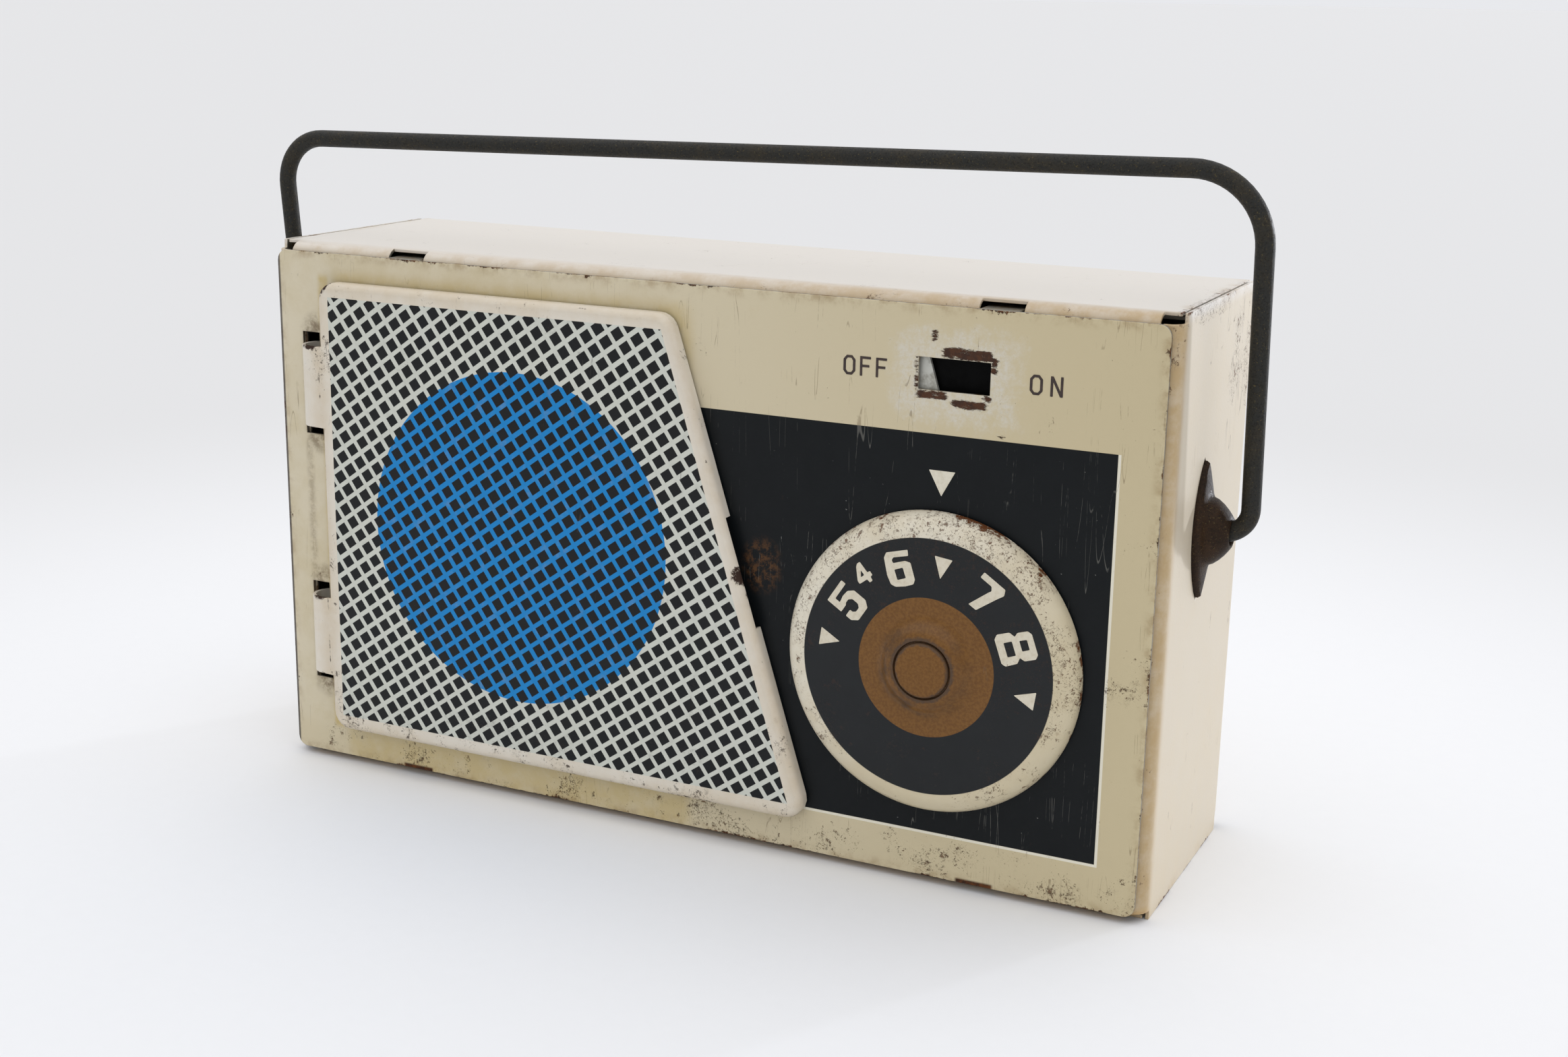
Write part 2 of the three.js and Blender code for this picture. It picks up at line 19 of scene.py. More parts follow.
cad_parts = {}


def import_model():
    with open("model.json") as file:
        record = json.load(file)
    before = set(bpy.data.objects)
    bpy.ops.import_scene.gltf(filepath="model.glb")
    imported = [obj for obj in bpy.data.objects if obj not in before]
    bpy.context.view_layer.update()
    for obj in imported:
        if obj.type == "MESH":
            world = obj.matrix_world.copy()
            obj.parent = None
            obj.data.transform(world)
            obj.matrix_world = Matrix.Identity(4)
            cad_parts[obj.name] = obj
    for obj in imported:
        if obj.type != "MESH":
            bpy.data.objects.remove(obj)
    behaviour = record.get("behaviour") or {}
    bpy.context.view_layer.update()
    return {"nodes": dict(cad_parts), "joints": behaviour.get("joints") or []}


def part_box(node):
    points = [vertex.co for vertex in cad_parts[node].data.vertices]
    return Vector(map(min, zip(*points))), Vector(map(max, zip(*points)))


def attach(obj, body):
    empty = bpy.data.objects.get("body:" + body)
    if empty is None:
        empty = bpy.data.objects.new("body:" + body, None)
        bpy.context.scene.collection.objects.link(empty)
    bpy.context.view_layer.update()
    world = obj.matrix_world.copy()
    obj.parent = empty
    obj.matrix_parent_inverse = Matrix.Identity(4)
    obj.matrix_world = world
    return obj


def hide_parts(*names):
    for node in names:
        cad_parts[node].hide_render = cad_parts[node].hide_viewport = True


LOG = logging.getLogger("pocket_radio")
MM = 0.001
Colour = tuple[float, float, float, float]
Point2 = tuple[float, float]
Socket = bpy.types.NodeSocket
Ring = list[bmesh.types.BMEdge]


def paint(red: int, green: int, blue: int) -> Colour:
    """Turn a display colour of 0 to 255 a channel into a linear colour.

    Args:
        red: Display red.
        green: Display green.
        blue: Display blue.

    Returns:
        The linear colour with full alpha.
    """
    linear = []
    for channel in (red, green, blue):
        share = channel / 255
        linear.append(share / 12.92 if share <= 0.04045 else ((share + 0.055) / 1.055) ** 2.4)
    return (linear[0], linear[1], linear[2], 1.0)


class Body(Enum):
    """The CAD bodies that pieces ride on."""

    CASE = "case"
    DOOR = "door"
    DIAL = "dial"
    BAIL = "bail"


class Slot(Enum):
    """The record's material slots."""

    ENAMEL = "cream_enamel"
    FACE = "printed_face"
    GRILLE = "printed_grille"
    DIAL = "printed_dial"
    LACQUER = "gold_lacquer"
    STEEL = "dark_steel"


class End(Enum):
    """The two ends of the case, valued by their direction along X."""

    LEFT = -1
    RIGHT = 1

    @property
    def label(self) -> str:
        """The end's name in lower case."""
        return self.name.lower()


# Node wiring


class Grain(Enum):
    """Noise recipes: features per millimetre, finer layers added, and how strong those are."""

    WIDE_CLOUD = (0.05, 3.0, 0.55)
    FINE_CLOUD = (0.45, 5.0, 0.65)
    CLUSTERS = (0.17, 4.0, 0.65)
    RAGGED_SPOTS = (2.6, 6.0, 0.85)
    LARGE_SPOTS = (0.75, 8.0, 0.8)
    MIDDLE_SPOTS = (1.7, 8.0, 0.8)
    SMALL_SPOTS = (4.0, 8.0, 0.8)
    SMEARS = (0.9, 7.0, 0.8)
    HAIRLINES = (1.0, 1.0, 0.4)
    HAIRLINE_GATE = (0.2, 4.0, 0.7)
    RAGGED_CHIPS = (1.6, 6.0, 0.8)
    CHIP_PATCHES = (0.16, 4.0, 0.7)
    LONG_WAVES = (0.06, 2.0, 0.4)
    FINE_SKIN = (2.6, 3.0, 0.6)
    FOLD_CLOUD = (0.35, 5.0, 0.65)
    TIDE_CLOUD = (0.5, 5.0, 0.65)
    INK_CLOUD = (0.3, 4.0, 0.6)
    DUST = (2.4, 2.0, 0.5)
    RUST_TONES = (1.2, 6.0, 0.8)
    VARNISH = (0.3, 5.0, 0.65)
    GRIME = (0.8, 6.0, 0.75)
    RUB_ACROSS = (0.3, 6.0, 0.75)
    RUB_UPRIGHT = (0.42, 6.0, 0.75)
    RUB_BREAKS = (1.8, 8.0, 0.85)
    SMUDGE = (1.1, 5.0, 0.75)
    WINDOW_GRAIN = (1.3, 8.0, 0.85)
    FADED_LINES = (0.7, 5.0, 0.65)
    DOOR_TIDE = (0.6, 4.0, 0.6)
    BARE_EDGES = (1.3, 6.0, 0.8)
    BROWN_GRAIN = (3.4, 2.0, 0.6)
    BLACK_CLOUD = (0.4, 4.0, 0.6)
    SCUFF = (1.4, 5.0, 0.75)
    INK_WEAR = (1.6, 5.0, 0.7)
    STEEL_BLOOM = (0.3, 5.0, 0.7)
    DARK_PITS = (5.0, 3.0, 0.7)
    PALE_PITS = (4.4, 3.0, 0.75)
    TIN_BLOOM = (0.5, 5.0, 0.7)
    PAPER = (0.5, 3.0, 0.6)


@dataclass
class Board:
    """A node tree being wired, with the coordinates in millimetres that its patterns follow."""

    tree: bpy.types.NodeTree
    vector: Socket | None = None
    x: Socket | None = None
    y: Socket | None = None
    z: Socket | None = None

    def lay_out(self, centre: Vector = Vector((0, 0, 0))) -> None:
        """Follow the object's own coordinates, counted from a centre.

        Args:
            centre: Where the count starts, in metres.
        """
        source = self.add("ShaderNodeTexCoord").outputs["Object"]
        feeds = {"Vector": source, "Location": tuple(-centre / MM), "Scale": (1 / MM,) * 3}
        self.vector = self.add("ShaderNodeMapping", feeds).outputs[0]
        self.x, self.y, self.z = self.axes(self.vector)

    def feed(self, socket: Socket, value: Any) -> None:
        """Link a socket to another, or set its plain value.

        Args:
            socket: The input to feed.
            value: A socket to link from, or a value to set.
        """
        if isinstance(value, bpy.types.NodeSocket):
            self.tree.links.new(value, socket)
        else:
            socket.default_value = value

    def add(self, kind: str, feeds: dict[Any, Any] | None = None, **settings: Any) -> bpy.types.Node:
        """Add a node.

        Args:
            kind: The node's Blender type.
            feeds: Values or sockets for its inputs, by name or index.
            **settings: The node's own properties.

        Returns:
            The new node.
        """
        node = self.tree.nodes.new(kind)
        for name, value in settings.items():
            setattr(node, name, value)
        for key, value in (feeds or {}).items():
            self.feed(node.inputs[key], value)
        return node

    def math(self, operation: str, *values: Any, clamp: bool = False) -> Socket:
        """Do one sum on numbers.

        Args:
            operation: The Math node's operation.
            *values: Its inputs in order.
            clamp: Whether the result is held between 0 and 1.

        Returns:
            The result.
        """
        feeds = dict(enumerate(values))
        return self.add("ShaderNodeMath", feeds, operation=operation, use_clamp=clamp).outputs[0]

    def least(self, *values: Any) -> Socket:
        """The smallest of several values."""
        return reduce(partial(self.math, "MINIMUM"), values)

    def most(self, *values: Any) -> Socket:
        """The largest of several values."""
        return reduce(partial(self.math, "MAXIMUM"), values)

    def product(self, *values: Any) -> Socket:
        """Several values multiplied together."""
        return reduce(partial(self.math, "MULTIPLY"), values)

    def minus(self, first: Any, second: Any) -> Socket:
        """The first value less the second."""
        return self.math("SUBTRACT", first, second)

    def apart(self, first: Any, second: Any) -> Socket:
        """How far apart two values are."""
        return self.math("ABSOLUTE", self.minus(first, second))

    def line(self, value: Any, slope: Any, start: Any) -> Socket:
        """A value times a slope, added to a start."""
        return self.math("MULTIPLY_ADD", value, slope, start)

    def reach(self, across: Socket, upright: Socket) -> Socket:
        """The distance whose two parts are given."""
        return self.math("SQRT", self.line(across, across, self.product(upright, upright)))

    def band(self, value: Any, low: Any, high: Any, start: float = 0.0, end: float = 1.0) -> Socket:
        """Move smoothly from start to end as a value goes from low to high.

        Args:
            value: The value to read.
            low: Where the change starts.
            high: Where it ends.
            start: The result below low.
            end: The result above high.

        Returns:
            The result, held between start and end.
        """
        feeds = {0: value, 1: low, 2: high, 3: start, 4: end}
        return self.add("ShaderNodeMapRange", feeds, interpolation_type="SMOOTHSTEP").outputs[0]

    def below(self, value: Any, low: Any, high: Any) -> Socket:
        """1 where a value is under low, falling smoothly to 0 at high."""
        return self.band(value, low, high, 1.0, 0.0)

    def inside(self, value: Any, low: float, high: float, soft: float) -> Socket:
        """1 where a value lies between two limits, with soft ends.

        Args:
            value: The value to read.
            low: The lower limit.
            high: The upper limit.
            soft: The width of each soft end.

        Returns:
            The mask.
        """
        rise = self.band(value, low - soft / 2, low + soft / 2)
        return self.product(rise, self.below(value, high - soft / 2, high + soft / 2))

    def mix(self, share: Any, first: Any, second: Any) -> Socket:
        """Mix two colours.

        Args:
            share: How much of the second shows.
            first: The colour underneath.
            second: The colour on top.

        Returns:
            The mixed colour.
        """
        feeds = {0: share, 6: first, 7: second}
        return self.add("ShaderNodeMix", feeds, data_type="RGBA").outputs[2]

    def coat(self, under: Any, over: Any, *masks: Any) -> Socket:
        """One colour laid over another where all the masks let it show."""
        return self.mix(self.product(*masks), under, over)

    def noise(self, grain: Grain, vector: Socket | None = None) -> Socket:
        """A smooth noise value.

        Args:
            grain: Its recipe.
            vector: Where it is read, if not at the board's own coordinates.

        Returns:
            The noise, about 0.5 on average.
        """
        scale, detail, roughness = grain.value
        feeds = {"Vector": vector or self.vector, "Scale": scale, "Detail": detail, "Roughness": roughness}
        return self.add("ShaderNodeTexNoise", feeds).outputs[0]

    def turned(self, turn: Sequence[float], stretch: Sequence[float]) -> Socket:
        """The board's coordinates, stretched and then turned.

        Args:
            turn: Degrees about each axis.
            stretch: Stretch along each axis.

        Returns:
            The turned coordinates.
        """
        angles = tuple(math.radians(angle) for angle in turn)
        feeds = {"Vector": self.vector, "Rotation": angles, "Scale": tuple(stretch)}
        return self.add("ShaderNodeMapping", feeds).outputs[0]

    def axes(self, vector: Socket) -> tuple[Socket, Socket, Socket]:
        """The three parts of a vector."""
        parts = self.add("ShaderNodeSeparateXYZ", {0: vector}).outputs
        return parts[0], parts[1], parts[2]


@dataclass(frozen=True)
class Area:
    """A rectangle on X and Z in millimetres, with the widths of its soft sides."""

    left: float
    right: float
    low: float
    high: float
    soft_x: float = 0.05
    soft_z: float = 0.05

    def mask(self, board: Board, x: Socket | None = None, z: Socket | None = None) -> Socket:
        """Where the area lies.

        Args:
            board: The material's board.
            x: What is read across, if not the board's own X.
            z: What is read upright, if not the board's own Z.

        Returns:
            The area's mask.
        """
        across = board.inside(x or board.x, self.left, self.right, self.soft_x)
        return board.product(across, board.inside(z or board.z, self.low, self.high, self.soft_z))


# Effects that several finishes share


class Effect(Enum):
    """Shader node groups, each made once and placed with its own values."""

    MOTTLE = "aged_mottle"
    SPECKS = "rust_specks"
    SCRATCHES = "fine_scratches"
    CHIPS = "edge_chips"
    PEEL = "print_skin"

    def place(self, board: Board, **feeds: Any) -> Socket:
        """Place the group on a board.

        Args:
            board: The material's board.
            **feeds: Values or sockets for the group's inputs.

        Returns:
            The group's output.
        """
        tree = bpy.data.node_groups.get(self.value) or self.make()
        node = board.add("ShaderNodeGroup", {"Vector": board.vector}, node_tree=tree)
        for name, value in feeds.items():
            board.feed(node.inputs[name.capitalize()], value)
        return node.outputs[0]

    def make(self) -> bpy.types.NodeTree:
        """Make the group.

        Returns:
            The finished node group.
        """
        tree = bpy.data.node_groups.new(self.value, "ShaderNodeTree")
        tree.interface.new_socket("Vector", in_out="INPUT", socket_type="NodeSocketVector")
        tree.interface.new_socket("Amount", in_out="INPUT", socket_type="NodeSocketFloat")
        if self is Effect.CHIPS:
            tree.interface.new_socket("Distance", in_out="INPUT", socket_type="NodeSocketFloat")
        tree.interface.new_socket("Mask", in_out="OUTPUT", socket_type="NodeSocketFloat")
        board = Board(tree)
        source = board.add("NodeGroupInput")
        board.vector = source.outputs["Vector"]
        maker = EffectMaker(board, source.outputs["Amount"], source.outputs.get("Distance"))
        makers: dict[Effect, Callable[[], Socket]] = {
            Effect.MOTTLE: maker.mottle,
            Effect.SPECKS: maker.specks,
            Effect.SCRATCHES: maker.scratches,
            Effect.CHIPS: maker.chips,
            Effect.PEEL: maker.peel,
        }
        board.add("NodeGroupOutput", {0: makers[self]()})
        return tree


@dataclass
class EffectMaker:
    """Wires the node group of one effect from the group's own inputs."""

    board: Board
    amount: Socket
    distance: Socket | None

    SPOTS: ClassVar[Sequence[tuple[Grain, float]]] = (
        (Grain.LARGE_SPOTS, 0.68),
        (Grain.MIDDLE_SPOTS, 0.675),
        (Grain.SMALL_SPOTS, 0.67),
    )
    HAIRS: ClassVar[Sequence[tuple[Sequence[float], Sequence[float], float]]] = (
        ((0, 38, 20), (0.5, 0.5, 0.022), 0.56),
        ((0, -52, 70), (0.42, 0.42, 0.03), 0.44),
        ((0, 81, 15), (0.6, 0.6, 0.02), 0.61),
    )

    def mottle(self) -> Socket:
        """Wide uneven ageing with finer clouding on it.

        Returns:
            The mask of aged paint.
        """
        board = self.board
        wide, fine = board.noise(Grain.WIDE_CLOUD), board.noise(Grain.FINE_CLOUD)
        both = board.line(fine, 0.45, board.product(wide, 0.75))
        return board.math("MULTIPLY", board.band(both, 0.45, 0.8), self.amount, clamp=True)

    def specks(self) -> Socket:
        """Rust spots of mixed size with thin stains between them; Amount thickens their clusters.

        Returns:
            The mask of rust.
        """
        board = self.board
        bound = board.line(self.amount, -0.36, 0.72)
        crowd = board.band(board.noise(Grain.CLUSTERS), bound, board.math("ADD", bound, 0.2))
        lift = board.product(crowd, 0.1)
        spots = []
        for grain, level in self.SPOTS:
            height = board.math("ADD", board.noise(grain), lift)
            spots.append(board.band(height, level, level + 0.03))
        cells = board.add("ShaderNodeTexVoronoi", {"Vector": board.vector, "Scale": 0.8})
        chance, _, spread = board.axes(cells.outputs["Color"])
        shown = board.math("GREATER_THAN", board.product(crowd, 0.4), chance)
        near = board.line(board.noise(Grain.RAGGED_SPOTS), 2.6, cells.outputs["Distance"])
        far = board.minus(near, board.line(spread, 0.3, 1.15))
        spots.append(board.product(shown, board.below(far, 0.0, 0.08)))
        smear = board.band(board.noise(Grain.SMEARS), 0.56, 0.68)
        return board.most(*spots, board.product(smear, crowd, 0.4))

    def scratches(self) -> Socket:
        """Hairlines in three directions that bend a little and come and go.

        Returns:
            The mask of hairlines.
        """
        board = self.board
        hairs = []
        for turn, stretch, level in self.HAIRS:
            value = board.noise(Grain.HAIRLINES, board.turned(turn, stretch))
            hairs.append(board.below(board.apart(value, level), 0.0012, 0.0036))
        bound = board.line(self.amount, -0.35, 0.76)
        gate = board.band(board.noise(Grain.HAIRLINE_GATE), bound, board.math("ADD", bound, 0.08))
        return board.math("MULTIPLY", board.most(*hairs), gate, clamp=True)

    def chips(self) -> Socket:
        """Paint lost near an edge; Distance is to that edge in millimetres, Amount is the reach.

        Returns:
            The mask of lost paint.
        """
        board = self.board
        patchy = board.band(board.noise(Grain.CHIP_PATCHES), 0.44, 0.72)
        ragged = board.band(board.noise(Grain.RAGGED_CHIPS), 0.36, 0.66)
        gap = board.minus(self.distance, board.product(self.amount, ragged, patchy))
        return board.product(board.below(gap, -0.06, 0.03), board.band(patchy, 0.02, 0.2))

    def peel(self) -> Socket:
        """Height of varnish on sheet metal: long waves with a faint fine skin.

        Returns:
            The height in millimetres.
        """
        board = self.board
        both = board.line(board.noise(Grain.FINE_SKIN), 0.06, board.noise(Grain.LONG_WAVES))
        return board.product(both, self.amount)


# Finishes


RUST = paint(98, 58, 30)
DARK_RUST = paint(52, 35, 26)
STAIN = paint(176, 146, 94)


@dataclass(frozen=True)
class Coat:
    """How a coat of paint shines, sound and worn, with its relief in millimetres."""

    sound: float
    worn: float
    gloss: float
    skin: float
    loss: float = 0.03


@dataclass(frozen=True)
class Finish:
    """A material; each kind of finish says how its surface is wired."""

    name: str

    def surface(self, board: Board, shader: bpy.types.Node) -> None:
        """Wire the surface; each kind of finish has its own.

        Args:
            board: The material's board.
            shader: Its Principled BSDF.
        """
        raise NotImplementedError

    def material(self) -> bpy.types.Material:
        """The finish's material, made the first time it is asked for.

        Returns:
            The material.
        """
        known = bpy.data.materials.get(self.name)
        if known:
            return known
        made = bpy.data.materials.new(self.name)
        made.use_nodes = True
        made.node_tree.nodes.clear()
        board = Board(made.node_tree)
        shader = board.add("ShaderNodeBsdfPrincipled")
        board.add("ShaderNodeOutputMaterial", {0: shader.outputs[0]})
        self.surface(board, shader)
        return made

    @staticmethod
    def relief(board: Board, shader: bpy.types.Node, height: Socket) -> None:
        """Feed a height in millimetres to the shader's normal."""
        bump = board.add("ShaderNodeBump", {"Height": height, "Distance": MM, "Strength": 1.0})
        board.feed(shader.inputs["Normal"], bump.outputs[0])

    @staticmethod
    def gloss(board: Board, shader: bpy.types.Node, colour: Any, rough: Any, level: float) -> None:
        """Set how the surface is coloured and how it shines.

        Args:
            board: The material's board.
            shader: Its Principled BSDF.
            colour: The colour.
            rough: The roughness.
            level: The specular level, alike all over.
        """
        board.feed(shader.inputs["Base Color"], colour)
        board.feed(shader.inputs["Roughness"], rough)
        shader.inputs["Specular IOR Level"].default_value = level

    def painted(
        self, board: Board, shader: bpy.types.Node, colour: Socket, coat: Coat, lost: Socket, dulled: Socket
    ) -> None:
        """Finish a painted surface with its shine and its relief.

        Args:
            board: The material's board.
            shader: Its Principled BSDF.
            colour: The colour.
            coat: How the paint shines and how thick it is.
            lost: Where paint is lost.
            dulled: Where its shine is lost.
        """
        rough = board.band(dulled, 0.0, 1.0, coat.sound, coat.worn)
        self.gloss(board, shader, colour, rough, coat.gloss)
        skin = Effect.PEEL.place(board, amount=coat.skin)
        self.relief(board, shader, board.minus(skin, board.product(lost, coat.loss)))


@dataclass(frozen=True)
class Enamel(Finish):
    """Plain cream enamel of the folded case, worn through along its folds."""

    low: Vector
    high: Vector
    light: Colour = paint(206, 194, 173)
    dull: Colour = paint(208, 192, 162)
    # painted light: paler cream for the top, standing in for the brighter light from above
    pale_lit_top: Colour = paint(223, 218, 211)
    gold: Colour = paint(188, 150, 88)
    scored: Colour = paint(104, 82, 62)
    coat: Coat = Coat(0.38, 0.75, 0.5, 0.22)
    front_bend: Point2 = (0.8, 3.0)
    top_bend: Point2 = (1.4, 0.1)
    sole: Point2 = (0.6, 2.2)
    rear_x: Point2 = (54.0, 54.6)
    rear_y: Point2 = (-3.0, 9.0)
    rear_z: Point2 = (36.0, 56.0)
    seam_x: Point2 = (53.6, 55.2)
    seam_z: Point2 = (61.6, 62.8)
    right_x: Point2 = (-40.0, 54.0)

    def surface(self, board: Board, shader: bpy.types.Node) -> None:
        """Wire cream paint, painted paler on top as painted light, with rust and brown tide lines at its
        folds.

        Args:
            board: The material's board.
            shader: Its Principled BSDF.
        """
        board.lay_out()
        x, y, z = board.x, board.y, board.z
        edge = self.edge(board)
        face, top = self.low.y / MM, self.high.z / MM
        front = board.below(y, face, face + self.front_bend[1])
        lip = board.below(y, face + self.front_bend[0], face + self.front_bend[1])
        rear = board.product(
            board.band(x, *self.rear_x), board.band(z, *self.rear_z), board.band(y, *self.rear_y)
        )
        seam = board.product(board.inside(x, *self.seam_x, 0.6), board.band(z, *self.seam_z))
        right = board.band(x, *self.right_x, 0.25, 1.0)
        dirty = board.most(board.product(front, right, 0.6), board.product(rear, 0.8), seam)
        specks = Effect.SPECKS.place(board, amount=board.math("ADD", dirty, 0.14))
        chips = Effect.CHIPS.place(board, amount=0.55, distance=edge)
        scratches = Effect.SCRATCHES.place(board, amount=board.line(rear, 0.5, 0.5))
        cloud = board.noise(Grain.FOLD_CLOUD)
        tide = board.product(board.below(edge, 0.0, 1.8), board.band(cloud, 0.4, 0.7))
        stain = board.product(lip, right, board.band(cloud, 0.2, 0.6, 0.45, 1.0))
        colour = board.coat(self.light, self.dull, Effect.MOTTLE.place(board, amount=0.4))
        # painted light: the top is painted paler where more light falls on it from above
        above = board.band(z, top - self.top_bend[0], top - self.top_bend[1])
        colour = board.coat(colour, self.pale_lit_top, above, 0.85)
        colour = board.coat(colour, STAIN, tide, 0.4)
        colour = board.coat(colour, STAIN, stain, 0.75)
        colour = board.coat(colour, self.gold, front, board.band(z, *self.sole, 0.85, 0.0))
        colour = board.coat(colour, self.scored, scratches, 0.65)
        worn = board.most(board.product(specks, 0.85), chips)
        self.painted(board, shader, board.coat(colour, RUST, worn), self.coat, worn, worn)

    def edge(self, board: Board) -> Socket:
        """Distance in millimetres to the nearest edge of the sheet's box.

        Args:
            board: The material's board.

        Returns:
            The distance.
        """
        x, y, z = (
            board.least(board.minus(part, low / MM), board.minus(high / MM, part))
            for part, low, high in zip((board.x, board.y, board.z), self.low, self.high)
        )
        return board.most(board.least(x, y), board.least(board.most(x, y), z))


@dataclass(frozen=True)
class FacePrint(Finish):
    """Printed face: aged cream with a blue-black panel, a fine line, rust and rubbed patches."""

    low: Vector
    high: Vector
    panel: Area = Area(-30.0, 49.5, 6.1, 49.9)
    line: float = 0.3
    cream: Colour = paint(213, 203, 179)
    dull: Colour = paint(190, 174, 132)
    rubbed_paint: Colour = paint(210, 206, 196)
    # yellow for varnish together with painted shade beside the door
    varnish_and_shade_yellow: Colour = paint(188, 162, 84)
    tide_brown: Colour = paint(140, 112, 72)
    grime_brown: Colour = paint(104, 84, 60)
    cut_side: Colour = paint(36, 38, 52)
    border: Colour = paint(226, 221, 204)
    ink: Colour = paint(15, 18, 20)
    faded_ink: Colour = paint(23, 26, 28)
    dust: Colour = paint(150, 150, 146)
    smudge_brown: Colour = paint(86, 58, 34)
    scored_cream: Colour = paint(104, 82, 58)
    scored_ink: Colour = paint(120, 118, 112)
    window_brown: Colour = paint(66, 48, 40)
    coat: Coat = Coat(0.36, 0.62, 0.14, 0.2)
    smudge_centre: Point2 = (10.4, 33.2)
    smudge_half: Point2 = (2.6, 3.4)
    low_band: Point2 = (3.0, 8.0)
    right_band: Point2 = (46.0, 54.0)
    rightward_yellow: Point2 = (-40.0, 60.0)
    left_band: Point2 = (0.25, 0.4)
    rubbed_area: Area = Area(25.4, 38.6, 51.6, 60.2, 2.6, 2.6)
    varnish_and_shade_beside: Area = Area(-48.3, -46.9, 4.5, 60.5, 0.7, 1.0)
    varnish_and_shade_above_x: Point2 = (-46.0, 1.5)
    varnish_and_shade_above_z: Point2 = (60.0, 61.8)
    grime_beside: Area = Area(-50.9, -50.0, 9.0, 54.0, 0.8, 2.0)
    rub_wander: float = 9.0
    slot_x: float = -48.9
    slot_ends: tuple[float, ...] = (53.4, 41.6, 22.6, 10.8)
    tab_centre: float = 0.2
    tab_reach: Point2 = (34.0, 38.2)
    tab_band: Point2 = (0.35, 0.65)

    STROKES: ClassVar[Sequence[Area]] = tuple(
        Area(*sides, soft_x=1.2, soft_z=0.7)
        for sides in (
            (30.5, 36.0, 57.8, 59.0),
            (27.7, 31.2, 53.5, 54.4),
            (31.6, 35.6, 52.8, 53.7),
            (35.7, 36.5, 56.6, 58.4),
            (35.0, 36.0, 53.8, 54.4),
            (27.6, 28.0, 54.2, 58.0),
            (29.2, 30.0, 59.5, 60.7),
            (37.0, 37.6, 50.1, 50.5),
        )
    )

    def surface(self, board: Board, shader: bpy.types.Node) -> None:
        """Wire the print, its wear, its varnish and painted shade by the door and at the foot.

        Args:
            board: The material's board.
            shader: Its Principled BSDF.
        """
        board.lay_out()
        x, z = board.x, board.z
        panel = self.panel.mask(board)
        edge = board.most(self.outline(board), board.minus(board.y, self.low.y / MM))
        low = board.below(z, *self.low_band)
        dirty = board.most(low, board.product(board.band(x, *self.right_band), 0.6))
        specks = Effect.SPECKS.place(board, amount=board.line(dirty, 0.42, 0.42))
        chips = Effect.CHIPS.place(board, amount=0.6, distance=edge)
        scratches = Effect.SCRATCHES.place(board, amount=0.7)
        mottle = Effect.MOTTLE.place(board, amount=0.45)
        # yellower to the right; towards the foot partly dirt, partly painted shade near the floor and below
        # the door
        rightwards = board.band(x, *self.rightward_yellow, 0.0, 0.65)
        aged_and_low_shade = board.most(mottle, rightwards, board.product(low, 0.35))
        rubbed = self.rubbed(board)
        cloud = board.noise(Grain.TIDE_CLOUD)
        tide = board.product(board.below(edge, 0.0, 1.4), board.band(cloud, 0.4, 0.7))
        side = board.below(board.minus(x, self.low.x / MM), *self.left_band)
        colour = board.coat(self.cream, self.dull, aged_and_low_shade)
        colour = board.coat(colour, self.rubbed_paint, rubbed)
        # painted shade with varnish: a yellow band along the door's left and top edges
        colour = board.coat(colour, self.varnish_and_shade_yellow, self.varnish(board), 0.6)
        colour = board.coat(colour, self.tide_brown, tide, 0.5)
        colour = board.coat(colour, self.grime_brown, self.grime(board), 0.75)
        colour = board.coat(colour, self.cut_side, side, 0.8)
        colour = board.coat(colour, self.border, self.border_line(board, panel))
        colour = board.coat(colour, self.panel_ink(board), panel)
        scored = board.coat(self.scored_cream, self.scored_ink, panel)
        colour = board.coat(colour, scored, scratches, 0.45)
        window = self.window_rust(board)
        off_panel = board.minus(1.0, board.product(panel, 0.9))
        rust = board.most(board.product(specks, off_panel, 0.85), chips, self.tabs(board), window)
        browns = board.coat(DARK_RUST, RUST, board.band(board.noise(Grain.RUST_TONES), 0.4, 0.6))
        browns = board.coat(browns, self.window_brown, window, 0.6)
        colour = board.coat(colour, browns, rust)
        self.painted(board, shader, colour, self.coat, rust, board.most(rust, rubbed))

    def outline(self, board: Board) -> Socket:
        """Distance in millimetres to the plate's outline.

        Args:
            board: The material's board.

        Returns:
            The distance.
        """
        return board.least(
            board.minus(self.high.x / MM, board.math("ABSOLUTE", board.x)),
            board.minus(self.high.z / MM, board.z),
            board.minus(board.z, self.low.z / MM),
        )

    def border_line(self, board: Board, panel: Socket) -> Socket:
        """The fine line along the right and the foot of the panel.

        Args:
            board: The material's board.
            panel: The panel's mask.

        Returns:
            The line's mask.
        """
        outer = replace(self.panel, right=self.panel.right + self.line, low=self.panel.low - self.line)
        return board.math("SUBTRACT", outer.mask(board), panel, clamp=True)

    def panel_ink(self, board: Board) -> Socket:
        """The panel's blue-black ink, with dust and a brown smudge beside the door's notch.

        Args:
            board: The material's board.

        Returns:
            The ink's colour.
        """
        ink = board.coat(self.ink, self.faded_ink, board.noise(Grain.INK_CLOUD))
        ink = board.coat(ink, self.dust, board.band(board.noise(Grain.DUST), 0.76, 0.79), 0.5)
        squares = []
        for part, centre, half in zip((board.x, board.z), self.smudge_centre, self.smudge_half):
            squares.append(board.math("POWER", board.math("DIVIDE", board.minus(part, centre), half), 2.0))
        around = board.below(board.math("ADD", *squares), 0.1, 1.2)
        return board.coat(ink, self.smudge_brown, around, board.band(board.noise(Grain.SMUDGE), 0.42, 0.62))

    def tabs(self, board: Board) -> Socket:
        """Brown marks at the foot, where the shell's tabs are bent over.

        Args:
            board: The material's board.

        Returns:
            The marks' mask.
        """
        across = board.inside(board.apart(board.x, self.tab_centre), *self.tab_reach, 0.4)
        return board.product(across, board.below(board.minus(board.z, self.low.z / MM), *self.tab_band))

